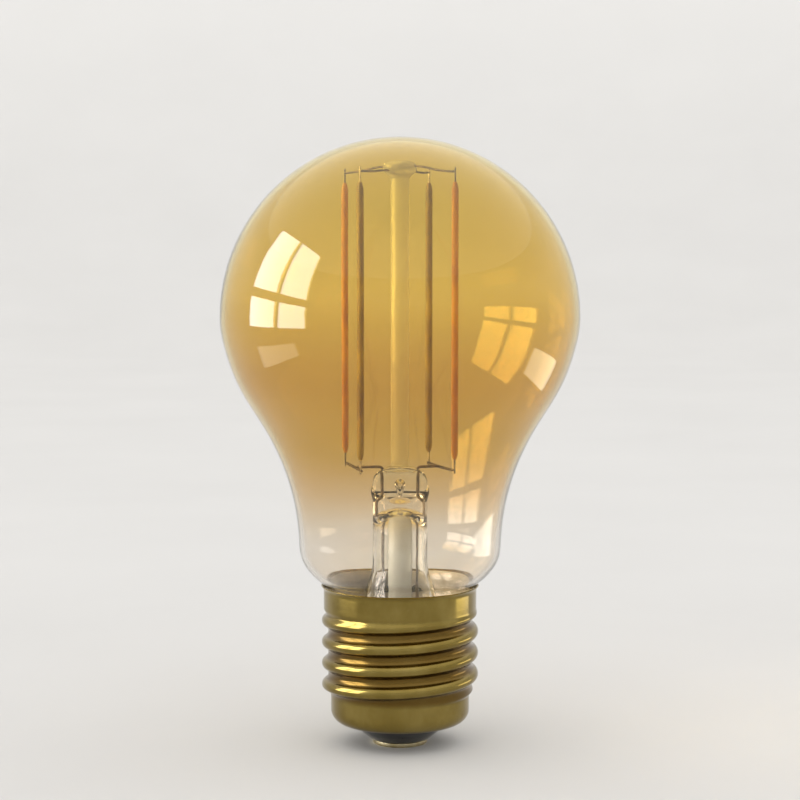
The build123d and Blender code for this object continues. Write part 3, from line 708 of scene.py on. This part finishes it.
def makeFilaments():
    f, w = filament, wiring
    metal = tabMetal()
    rng = np.random.default_rng(27)
    coats = {colour: phosphor(colour) for colour in ("warm", "cool")}
    for name, (x, y) in w["places"].items():
        colour = name.split("_")[0]
        out = math.atan2(y, x)
        length = f["high"] - f["low"]
        straight = length - f["taper"]
        phase = rng.uniform(0, 6.3, 3)
        bm = bmesh.new()
        rings, around = [], 28
        heights = np.concatenate([
            np.linspace(0, f["taper"], 12), np.linspace(f["taper"], straight, 120)[1:-1],
            np.linspace(straight, length, 12)])
        for up in heights:
            edge = min(up, length - up)
            grow = 0.5 + 0.5 * math.sin(math.pi / 2 * min(1.0, edge / f["taper"]))
            lump = 1 + 0.014 * math.sin(up * 1.7 + phase[0]) + 0.010 * math.sin(up * 4.1 + phase[1])
            lean = 0.03 * math.sin(math.pi * up / length) * math.sin(phase[2])
            ring = []
            for i in range(around):
                a = 2 * math.pi * i / around
                r = ovalRadius(a, f["width"] / 2, f["depth"] / f["width"], 2.6) * grow * min(lump, 1.0)
                u, v = r * math.cos(a), r * math.sin(a) + lean
                ring.append(bm.verts.new(turned(x, y, out, u, v, f["low"] + up)))
            rings.append(ring)
        skinRings(bm, rings)
        addPiece(name + "_filament", bm, coats[colour], sharp=60, standsFor=[name + "_coat"],
                 slot="phosphor_" + colour)
        makeTabs(name, x, y, out, metal)


def makeTabs(name, x, y, out, metal):
    # a flat strip at each end, its free end rounded and its middle dimpled by the weld
    f, w = filament, wiring
    colour = name.split("_")[0]
    topWeld = w[colour + "Height"] - w[colour + "Dip"]
    halfDeep = w["tabDepth"] / 2
    count = 26
    bm = bmesh.new()
    for free, held, weld in ((f["tabLow"], f["low"] + f["tabOverlap"], w["barHeight"]),
                             (f["tabHigh"], f["high"] - f["tabOverlap"], topWeld)):
        rings = []
        for k in range(count + 1):
            z = free + (held - free) * k / count
            near = min(1.0, abs(z - free) / f["tabRound"])
            halfWide = w["tabWidth"] / 2 * math.sqrt(max(0.06, 1 - (1 - near) ** 2))
            back = halfDeep - f["weldDimple"] * math.exp(-((z - weld) / 0.2) ** 2)
            section = roundCorners([
                (-halfWide, -halfDeep), (halfWide, -halfDeep), (halfWide, back), (-halfWide, back)],
                [halfDeep * 0.6] * 4, 3)
            rings.append([bm.verts.new(turned(x, y, out, u, v, z)) for u, v in section])
        skinRings(bm, rings)
    addPiece(name + "_end_tabs", bm, metal, sharp=40, standsFor=[name + "_tabs"], slot="tab_metal")


makeFilaments()
print("filaments made")


# the screw cap
cap = {
    "crest": 13.2,
    "pitch": 3.629,
    "round": 1.025,
    "start": 8.2,
    "end": 23.2,
    "fade": 1.7,
    "phase": 0.286,
    "skirt": 12.86,
    "wall": 0.25,
    "rim": 27.0,
    "lip": 0.4,
    "lipHeight": 0.8,
    "lowStep": 0.42,
    "bottom": 3.65,
    "bottomRound": 2.2,
    "mouth": 8.2,
    "waist": (6.6, 7.2),        # heights of the plain band below the thread
}


def brass():
    s = Shader("rolled brass")
    turn = s.noise(95.0, 4.0, 0.55, (1, 1, 14))         # rolling lines round the cap
    fine = s.noise(300.0, 3.0, 0.6, (1, 1, 22))
    stain = s.noise(120.0, 5.0, 0.62, (1, 1, 0.8))
    spots = s.noise(900.0, 3.0, 0.7)
    x, y, z = s.split(s.place, "X"), s.split(s.place, "Y"), s.split(s.place, "Z")
    radius = (x * x + y * y) ** 0.5
    groove = s.span(radius, 0.0122, 0.0129, 1.0, 0.0) * s.span(z, 0.0080, 0.0092)
    # the tones drift with the stains, but all are held far darker than brass's own colour: painted shade
    # standing in for the dim surroundings that the metal reflects
    tone = s.ramp(stain, (
        (0.3, (0.185, 0.131, 0.031)), (0.5, (0.232, 0.171, 0.046)), (0.72, (0.30, 0.228, 0.072))))
    # painted shade: the roots of the thread are darkened toward dark brown; the same mask also roughens
    # them
    tone = s.blend(groove * 0.7, tone, (0.10, 0.050, 0.010))
    tone = s.blend(s.span(spots, 0.66, 0.78, 0.0, 0.5), tone, (0.26, 0.19, 0.07))
    rough = s.span(stain, 0.3, 0.75, 0.10, 0.19) + groove * 0.06 + s.span(fine, 0.3, 0.7, 0.0, 0.04)
    return s.finish(
        Base_Color=tone, Metallic=1.0, Roughness=rough,
        Normal=s.bump(turn * 0.7 + fine * 0.2 + spots * 0.05, 0.00003, 0.35))


def threadDepth():
    # from the middle of the thread to its crest: the arcs meet at a quarter of the pitch
    c = cap
    return c["round"] - math.sqrt(c["round"] ** 2 - (c["pitch"] / 4) ** 2)


def threadWave(turns, inset):
    # how far the skin stands out from the middle of the thread
    c = cap
    quarter = c["pitch"] / 4
    centre = math.sqrt(c["round"] ** 2 - quarter ** 2)
    away = abs((turns + 0.5) % 1.0 - 0.5) * c["pitch"]
    if away < (c["round"] - inset) * quarter / c["round"]:
        return math.sqrt((c["round"] - inset) ** 2 - away ** 2) - centre
    return centre - math.sqrt((c["round"] + inset) ** 2 - (c["pitch"] / 2 - away) ** 2)


def capRadius(angle, z, inset):
    # the thread, which fades into the plain band below it and the skirt above it
    c = cap
    half = threadDepth()
    middle = c["crest"] - half
    low = middle - half - c["lowStep"] - inset
    high = c["skirt"] - inset
    wave = middle + threadWave(z / c["pitch"] - angle / (2 * math.pi) - c["phase"], inset)
    bottom = ease(z, c["start"], c["start"] + c["fade"])
    top = 1 - ease(z, c["end"] - c["fade"], c["end"])
    return low * (1 - bottom) + high * (1 - top) + wave * (bottom + top - 1)


def makeCapShell():
    c = cap
    low = c["crest"] - 2 * threadDepth() - c["lowStep"]
    corner = c["bottom"] + c["bottomRound"]
    lipFoot = c["rim"] - c["lipHeight"]
    threaded = list(np.linspace(c["start"] - 0.4, c["end"] + 0.4, 190))
    skins = []
    for inset in (0.0, c["wall"]):
        foot = arcLine((low - c["bottomRound"], corner), c["bottomRound"] - inset, -90, 0, 10)
        lip = smoothLine([
            (c["skirt"] - inset, lipFoot),
            (c["skirt"] + c["lip"] * 0.42 - inset, c["rim"] - c["lipHeight"] * 0.42),
            (c["skirt"] + c["lip"] - inset, c["rim"] - 0.04)], 5, (0, 1), (0.7, 1))
        skirt = [(c["skirt"] - inset, z) for z in np.linspace(c["end"] + 0.9, lipFoot - 0.2, 4)]
        line = [(c["mouth"] + 0.1, c["bottom"] + inset)] + foot
        line += [(low - inset, z) for z in c["waist"]] + [(c["crest"], z) for z in threaded]
        skins.append(line + skirt + lip)
    edge = [(c["skirt"] + c["lip"] - c["wall"] * 0.5, c["rim"] + 0.08)]
    curl = [(c["mouth"], c["bottom"] + c["wall"] * 0.5)]
    outline = skins[0] + edge + skins[1][::-1] + curl
    outside = len(skins[0])

    def shape(angle, r, z, k):
        # the thread is rolled into both skins of the sheet
        if z not in threaded:
            return r, z
        return capRadius(angle, z, 0.0 if k < outside else c["wall"]), z

    lathe("threaded_brass_shell", outline, brass(), 180, True, shape, sharp=60,
          standsFor=["cap_shell"], slot="cap_brass")


makeCapShell()
print("cap shell made")


# the black insulator, the end contact and its pin
end = {
    "footRadius": 4.75,
    "footHeight": 0.7,
    "throat": 8.15,
    "bottom": 3.65,
    "side": 11.38,
    "top": 7.4,
    "dish": 1.2,
    "belly": (6.35, 1.95),
    "shelf": 3.95,
    "bore": 0.95,
    "contact": 4.6,
    "contactDepth": 0.35,
    "pinHead": 2.0,
    "pinHeadDepth": 0.34,
    "pin": 0.9,
    "pinTop": 6.7,
}


def blackGlass():
    s = Shader("black vitreous insulator")
    lump = s.noise(240.0, 3.0, 0.5)
    pits = s.cells(1700.0)
    dust = s.noise(1500.0, 5.0, 0.65)
    tone = s.ramp(lump, (
        (0.3, (0.006, 0.006, 0.007)), (0.6, (0.014, 0.013, 0.015)), (0.8, (0.024, 0.021, 0.022))))
    tone = s.blend(s.span(dust, 0.62, 0.8, 0.0, 0.3), tone, (0.11, 0.10, 0.09))
    return s.finish(
        Base_Color=tone, Roughness=s.span(dust, 0.4, 0.75, 0.07, 0.3), IOR=1.52, Coat_Weight=0.5,
        Coat_Roughness=0.04, Normal=s.bump(lump * 1.2 - s.span(pits, 0.0, 0.12, 0.25, 0.0), 0.0003, 0.5))


def contactMetal(name, dark, mid, light):
    s = Shader(name)
    wear = s.noise(520.0, 5.0, 0.62)
    scratch = s.noise(1300.0, 4.0, 0.6, (0.12, 1, 1))
    cross = s.noise(1100.0, 4.0, 0.6, (1, 0.1, 1))
    marks = s.span(scratch, 0.6, 0.68) + s.span(cross, 0.62, 0.7)
    tone = s.ramp(wear, ((0.28, dark), (0.5, mid), (0.75, light)))
    tone = s.blend(s.span(marks, 0.0, 1.0, 0.0, 0.45), tone, light)
    return s.finish(
        Base_Color=tone, Metallic=1.0, Roughness=s.span(wear, 0.3, 0.8, 0.4, 0.2),
        Normal=s.bump(wear * 0.5 - marks * 0.3, 0.00004, 0.7))


def makeEnd():
    e = end
    dishRadius = e["side"] - 0.5
    floor = e["top"] - e["dish"]
    corners = [
        (e["bore"], e["footHeight"]), (e["footRadius"], e["footHeight"]), e["belly"],
        (e["throat"], e["bottom"] - 0.12), (e["throat"], e["shelf"]), (e["side"], e["shelf"]),
        (e["side"], e["top"]), (dishRadius, e["top"]), (dishRadius - e["dish"], floor),
        (e["bore"], floor)]
    radii = [0, 0.35, 2.2, 0.3, 0, 1.9, 0.12, 0.12, 0.3, 0]
    outline = dropRepeats(roundCorners(corners, radii, 8))

    def ribs(angle, r, z, k):
        # shallow flutes left by the mould on the cone
        onCone = ease(z, 1.0, 1.5) * (1 - ease(z, 3.0, 3.45))
        return r - 0.05 * onCone * (0.5 + 0.5 * math.cos(12 * angle)), z

    lathe("black_glass_insulator", outline, blackGlass(), 144, True, ribs, sharp=55,
          standsFor=["cap_insulator"], slot="insulator_glass")
    eye, seat, depth = e["pin"] + 0.06, e["pinHead"] + 0.05, e["contactDepth"]
    disc = roundCorners([
        (seat, 0.0), (e["contact"], 0.0), (e["contact"], e["footHeight"]), (eye, e["footHeight"]),
        (eye, depth), (seat, depth)], [0.06, 0.3, 0.08, 0, 0, 0], 6)
    lathe("end_contact_disc", dropRepeats(disc), contactMetal(
        "stamped contact brass", (0.42, 0.33, 0.16), (0.66, 0.56, 0.33), (0.82, 0.74, 0.52)), 96, True,
        sharp=50, standsFor=["centre_contact"], slot="contact_metal")
    pin = [(0.0, 0.0)] + roundCorners([
        (e["pinHead"], 0.0), (e["pinHead"], e["pinHeadDepth"]), (e["pin"], e["pinHeadDepth"]),
        (e["pin"], e["pinTop"]), (0.2, e["pinTop"])], [0.1, 0.04, 0.05, 0.25, 0], 5)
    pin[-1] = (0.0, e["pinTop"])
    lathe("contact_rivet", dropRepeats(pin), contactMetal(
        "nickel rivet", (0.42, 0.41, 0.38), (0.62, 0.61, 0.58), (0.78, 0.77, 0.75)), 72, False,
        sharp=50, standsFor=["contact_pin"], slot="pin_metal")


makeEnd()
print("insulator and contact made")


# the cement that holds the glass in the cap
cement = {
    "low": 23.5,
    "high": 26.72,
    "gap": 0.01,
    "shellGap": 0.04,
    "shoulder": 24.6,
    "squeeze": 0.12,
}


def cementPaste():
    s = Shader("pale cement")
    lump = s.noise(520.0, 5.0, 0.65)
    grit = s.cells(2400.0)
    tone = s.ramp(lump, (
        (0.3, (0.55, 0.51, 0.45)), (0.55, (0.70, 0.67, 0.61)), (0.8, (0.80, 0.78, 0.73))))
    tone = s.blend(s.span(grit, 0.0, 0.25, 0.35, 0.0), tone, (0.45, 0.40, 0.33))
    return s.finish(
        Base_Color=tone, Roughness=s.span(lump, 0.3, 0.8, 0.75, 0.95),
        Normal=s.bump(lump + s.span(grit, 0.0, 0.4, -0.3, 0.0), 0.0002, 0.8))


def makeCement():
    c = cement
    foot, top = c["low"], c["high"]
    glass = [q for q in bulbOutline() if foot - 0.2 < q[1] < top + 0.2][::-1]
    radii, heights = zip(*glass)
    count = 14
    outline = []
    for k in range(count + 1):
        z = foot + (top - foot) * k / count
        outline.append((float(np.interp(z, heights, radii)) + c["gap"], z))
    wide = cap["skirt"] - cap["wall"] - c["shellGap"]
    outline += [(wide - 0.05, top - 0.16), (wide, top - 0.5), (wide, c["shoulder"]),
                (wide - 0.2, foot + 0.2), (wide - 0.5, foot)]
    low = outline[0][0]

    def crumb(angle, r, z, k):
        # an uneven edge where the paste squeezed out below the glass
        if z < foot + 0.3 and r > low + 0.01:
            return r, z + c["squeeze"] * (1 + math.sin(5 * angle) * math.sin(11 * angle + 1))
        return r, z

    lathe("cement_ring", outline, cementPaste(), 144, True, crumb, sharp=60, standsFor=["cap_cement"],
          slot="cement")


makeCement()
print("cement made")


# finishes for the parts inside the cap
def plain(name, dark, mid, light, size, rough, metal=0.0, depth=0.00003, coat=0.0, stretch=(1, 1, 1)):
    # three tones that drift over the surface, with grain in the gloss and the bump
    s = Shader(name)
    drift = s.noise(size, 4.0, 0.55, stretch)
    grain = s.noise(size * 6, 3.0, 0.6, stretch)
    tone = s.ramp(drift, ((0.28, dark), (0.5, mid), (0.75, light)))
    tone = s.blend(s.span(grain, 0.6, 0.8, 0.0, 0.35), tone, dark)
    return s.finish(
        Base_Color=tone, Metallic=metal, Coat_Weight=coat,
        Roughness=(s.span(drift, 0.3, 0.8, rough + 0.08, rough - 0.05)
                   + s.span(grain, 0.4, 0.8, 0.0, 0.06)),
        Normal=s.bump(drift * 0.4 + grain * 0.6, depth, 0.6))


def solderMask(name, mask, copper):
    # solder mask over copper tracks, with a faint weave of the glass cloth
    s = Shader(name)
    x, y, z = s.split(s.place, "X"), s.split(s.place, "Y"), s.split(s.place, "Z")
    weave = s.sine(x * 9000.0) * s.sine((y + z) * 9000.0)
    tracks = s.add("ShaderNodeTexVoronoi", {"feature": "DISTANCE_TO_EDGE", "distance": "MANHATTAN"}, {
        "Vector": s.place, "Scale": 520.0, "Randomness": 0.65}, "Distance")
    laid = s.span(tracks, 0.10, 0.13, 1.0, 0.0)
    stain = s.noise(300.0, 4.0, 0.6)
    tone = s.blend(laid * 0.75, mask, copper)
    tone = s.blend(s.span(stain, 0.4, 0.8, 0.0, 0.35), tone, (0.02, 0.03, 0.02))
    return s.finish(
        Base_Color=tone, Roughness=s.span(stain, 0.3, 0.8, 0.3, 0.46), Coat_Weight=0.3,
        Normal=s.bump(weave * 0.08 + laid, 0.00004, 0.6))


def woundCopper(name, tone):
    # enamelled turns lying side by side, with painted shade darkening the gaps between them
    s = Shader(name)
    z = s.split(s.place, "Z")
    turns = s.sine(z * 14000.0)
    drift = s.noise(500.0, 4.0, 0.6)
    dark = tuple(0.35 * q for q in tone)
    light = tuple(min(1.0, 1.3 * q) for q in tone)
    lit = s.ramp(drift, ((0.3, tone), (0.8, light)))
    # painted shade: the gaps between the turns are blended toward a dark copy of the tone
    shade = s.blend(s.span(turns, -1.0, 0.2, 0.8, 0.0), lit, dark)
    return s.finish(
        Base_Color=shade, Metallic=0.85, Roughness=s.span(drift, 0.3, 0.8, 0.3, 0.42), Coat_Weight=0.6,
        Normal=s.bump(turns * 0.8 + drift * 0.2, 0.00005, 0.8))


def ringed(name, body, rings, pitch, gloss):
    # a dipped body with colour bands round it
    s = Shader(name)
    x = s.split(s.place, "X")
    band = s.add("ShaderNodeMath", {"operation": "FRACT"}, {0: x / pitch})
    mask = s.span(band, 0.30, 0.34) * s.span(band, 0.52, 0.56, 1.0, 0.0)
    drift = s.noise(700.0, 4.0, 0.6)
    dark = tuple(0.7 * q for q in body)
    tone = s.blend(mask, s.ramp(drift, ((0.3, dark), (0.7, body))), rings)
    return s.finish(
        Base_Color=tone, Roughness=s.span(drift, 0.3, 0.8, gloss, gloss + 0.15), Coat_Weight=0.4,
        Normal=s.bump(drift, 0.00004, 0.5))


def dress(material, *names):
    for name in names:
        for slot in nodes[name].material_slots:
            slot.material = material


def dressBoards():
    dress(solderMask("green driver board", (0.012, 0.115, 0.045), (0.05, 0.22, 0.07)), "driver_board")
    dress(solderMask("blue radio board", (0.012, 0.04, 0.17), (0.03, 0.10, 0.30)), "wifi_board")
    dress(plain("brushed aluminium can", (0.5, 0.5, 0.5), (0.68, 0.68, 0.67), (0.8, 0.8, 0.79),
                600.0, 0.26, 1.0, stretch=(1, 1, 0.1)), "bulk_capacitor")
    dress(plain("printed capacitor sleeve", (0.008, 0.008, 0.012), (0.02, 0.02, 0.03),
                (0.045, 0.045, 0.06), 420.0, 0.36, depth=0.00002, coat=0.3), "capacitor_sleeve")
    dress(plain("sintered ferrite", (0.018, 0.017, 0.017), (0.045, 0.043, 0.042),
                (0.09, 0.085, 0.08), 900.0, 0.6, depth=0.00006), "choke_core")
    dress(woundCopper("enamelled winding", (0.55, 0.2, 0.06)), "choke_winding")
    dress(plain("film capacitor box", (0.42, 0.26, 0.02), (0.62, 0.41, 0.04), (0.74, 0.53, 0.1),
                500.0, 0.42, coat=0.2), "film_capacitor")
    dress(ringed("dipped fuse resistor", (0.08, 0.26, 0.12), (0.5, 0.33, 0.06), 0.0021, 0.3),
          "fuse_resistor")
    dress(plain("moulded chip epoxy", (0.010, 0.010, 0.011), (0.022, 0.022, 0.024),
                (0.045, 0.044, 0.046), 1500.0, 0.5),
          "bridge_rectifier", "wifi_chip", "flash_chip", "warm_driver_chip", "cool_driver_chip")
    dress(plain("resistor film", (0.01, 0.01, 0.012), (0.03, 0.03, 0.035), (0.3, 0.3, 0.3),
                1200.0, 0.4), "chip_resistors")
    dress(plain("fired ceramic chips", (0.28, 0.2, 0.13), (0.42, 0.31, 0.21), (0.55, 0.43, 0.31),
                1400.0, 0.44), "chip_capacitors")
    dress(plain("crystal can plating", (0.5, 0.49, 0.46), (0.68, 0.67, 0.64), (0.8, 0.79, 0.77),
                1300.0, 0.24, 1.0), "wifi_crystal")
    dress(plain("gold flashed pins", (0.55, 0.36, 0.11), (0.78, 0.56, 0.2), (0.9, 0.72, 0.34),
                1200.0, 0.24, 1.0), "header_pins")
    dress(plain("reflowed solder", (0.38, 0.38, 0.39), (0.58, 0.58, 0.58), (0.74, 0.74, 0.73),
                900.0, 0.28, 1.0, 0.00006), "board_solder", "neutral_solder")


def dressWires():
    dress(plain("red sleeve", (0.30, 0.012, 0.010), (0.46, 0.02, 0.016), (0.56, 0.05, 0.035),
                600.0, 0.38, coat=0.15), "live_wire")
    dress(plain("black sleeve", (0.008, 0.008, 0.009), (0.018, 0.018, 0.02), (0.04, 0.04, 0.042),
                600.0, 0.38, coat=0.15), "neutral_wire")
    dress(plain("grey aerial sleeve", (0.12, 0.12, 0.13), (0.2, 0.2, 0.21), (0.3, 0.3, 0.31),
                700.0, 0.4), "antenna_wire")


def dressFilamentInsides():
    ceramic = plain("translucent ceramic strip", (0.62, 0.6, 0.54), (0.74, 0.72, 0.66),
                    (0.85, 0.84, 0.8), 900.0, 0.34)
    chips = plain("blue led dice", (0.03, 0.07, 0.2), (0.07, 0.14, 0.34), (0.3, 0.38, 0.5),
                  2400.0, 0.2, coat=0.6)
    for place in wiring["places"]:
        dress(ceramic, place + "_substrate")
        dress(chips, place + "_chips")


dressBoards()
dressWires()
dressFilamentInsides()
print("inner parts dressed")


# floor, light and camera
studio = {
    "aim": (0.0, 0.0, 0.0582),
    "elevation": 5.5,
    "distance": 0.388,
    "lens": 104.4,
    "floorRadius": 0.8,
    "floorSweep": 0.7,
    "wallHeight": 0.85,
    "floorTone": ((0.70, 0.697, 0.69), (0.72, 0.717, 0.71)),
    "wallTone": (0.90, 0.898, 0.89),
    "worldTone": (1.0, 0.985, 0.965),
    "worldPower": 1.22,
}
studioWindow = {
    "bearing": 187,             # degrees from +X, so nearly straight left
    "distance": 0.76,
    "columns": (0.325, 0.285),
    "bar": 0.048,
    "rows": ((-0.056, 0.116), (0.17, 0.59)),
    "glow": 8.0,
    "tone": (0.96, 0.96, 1.0),
}
fillCards = {
    "right_card": {
        "place": (0.13, 0.035, 0.012), "size": (0.075, 0.026), "glow": 2.6, "tone": (1.0, 0.95, 0.8)},
    "left_card": {
        "place": (-0.15, -0.02, 0.012), "size": (0.09, 0.022), "glow": 1.5, "tone": (1.0, 0.98, 0.93)},
}


def makeFloor():
    # a flat floor that curves up into a low round wall, so that no edge shows behind the lamp
    s = Shader("pale matt floor")
    drift = s.noise(14.0, 4.0, 0.5)
    grain = s.noise(900.0, 3.0, 0.5)
    height = s.split(s.place, "Z")
    low, high = studio["floorTone"]
    material = s.finish(
        Base_Color=s.blend(s.span(height, 0.0, 0.5), s.ramp(drift, ((0.3, low), (0.7, high))),
                           studio["wallTone"]),
        Roughness=s.span(grain, 0.3, 0.8, 0.7, 0.85), Normal=s.bump(grain, 0.00003, 0.3),
        Specular_IOR_Level=0.0)
    flat, sweep, wall = (studio[key] / mm for key in ("floorRadius", "floorSweep", "wallHeight"))
    outline = [(0.0, 0.0), (60.0, 0.0), (flat, 0.0)]
    outline += arcLine((flat, sweep), sweep, -90, 0, 24)[1:] + [(flat + sweep, wall)]
    bm = latheInto(bmesh.new(), outline, 96, False)
    bmesh.ops.reverse_faces(bm, faces=bm.faces)
    mesh = bpy.data.meshes.new("floor")
    bm.to_mesh(mesh)
    bm.free()
    mesh.polygons.foreach_set("use_smooth", [True] * len(mesh.polygons))
    mesh.materials.append(material)
    floor = bpy.data.objects.new("floor", mesh)
    bpy.context.scene.collection.objects.link(floor)


def makeWorld():
    world = bpy.data.worlds.new("pale studio")
    world.use_nodes = True
    background = world.node_tree.nodes["Background"]
    background.inputs["Color"].default_value = (*studio["worldTone"], 1.0)
    background.inputs["Strength"].default_value = studio["worldPower"]
    bpy.context.scene.world = world
    bpy.context.scene.view_settings.view_transform = "Standard"


def addPane(name, place, facing, width, tall, glow, tone):
    # a flat pane that only glass and metal show; glow is its brightness, whatever its size
    data = bpy.data.lights.new(name, "AREA")
    data.shape = "RECTANGLE"
    data.size, data.size_y = width, tall
    data.energy = glow * math.pi * width * tall
    data.color = tone
    lamp = bpy.data.objects.new(name, data)
    lamp.location = place
    lamp.rotation_euler = facing.to_track_quat("-Z", "Y").to_euler()
    lamp.visible_camera = False
    lamp.visible_diffuse = False
    bpy.context.scene.collection.objects.link(lamp)


def makeWindow():
    # four panes in one plane with bars between them, so that the glass shows a window
    w = studioWindow
    angle = math.radians(w["bearing"])
    out = Vector((math.cos(angle), math.sin(angle), 0))
    along = Vector((-out.y, out.x, 0))
    middle = Vector(studio["aim"]) + out * w["distance"]
    for column in (0, 1):
        wide = w["columns"][column]
        shift = (wide + w["bar"]) / 2 * (1 if column else -1)
        for row, (low, high) in enumerate(w["rows"]):
            place = middle + along * shift + Vector((0, 0, (low + high) / 2))
            name = "window_pane_" + str(column) + str(row)
            addPane(name, place, -out, wide, high - low, w["glow"], w["tone"])


def makeFills():
    # glowing cards that lie low on both sides
    aim = Vector(studio["aim"])
    for name, card in fillCards.items():
        place = Vector(card["place"])
        addPane(name, place, aim - place, *card["size"], card["glow"], card["tone"])


def makeCamera():
    data = bpy.data.cameras.new("camera")
    data.lens = studio["lens"]
    data.clip_start = 0.01
    camera = bpy.data.objects.new("camera", data)
    up = math.radians(studio["elevation"])
    aim = Vector(studio["aim"])
    camera.location = aim + Vector((0, -math.cos(up), math.sin(up))) * studio["distance"]
    camera.rotation_euler = (aim - camera.location).to_track_quat("-Z", "Y").to_euler()
    bpy.context.scene.collection.objects.link(camera)
    bpy.context.scene.camera = camera


makeFloor()
makeWorld()
makeWindow()
makeFills()
makeCamera()
print("stage set")
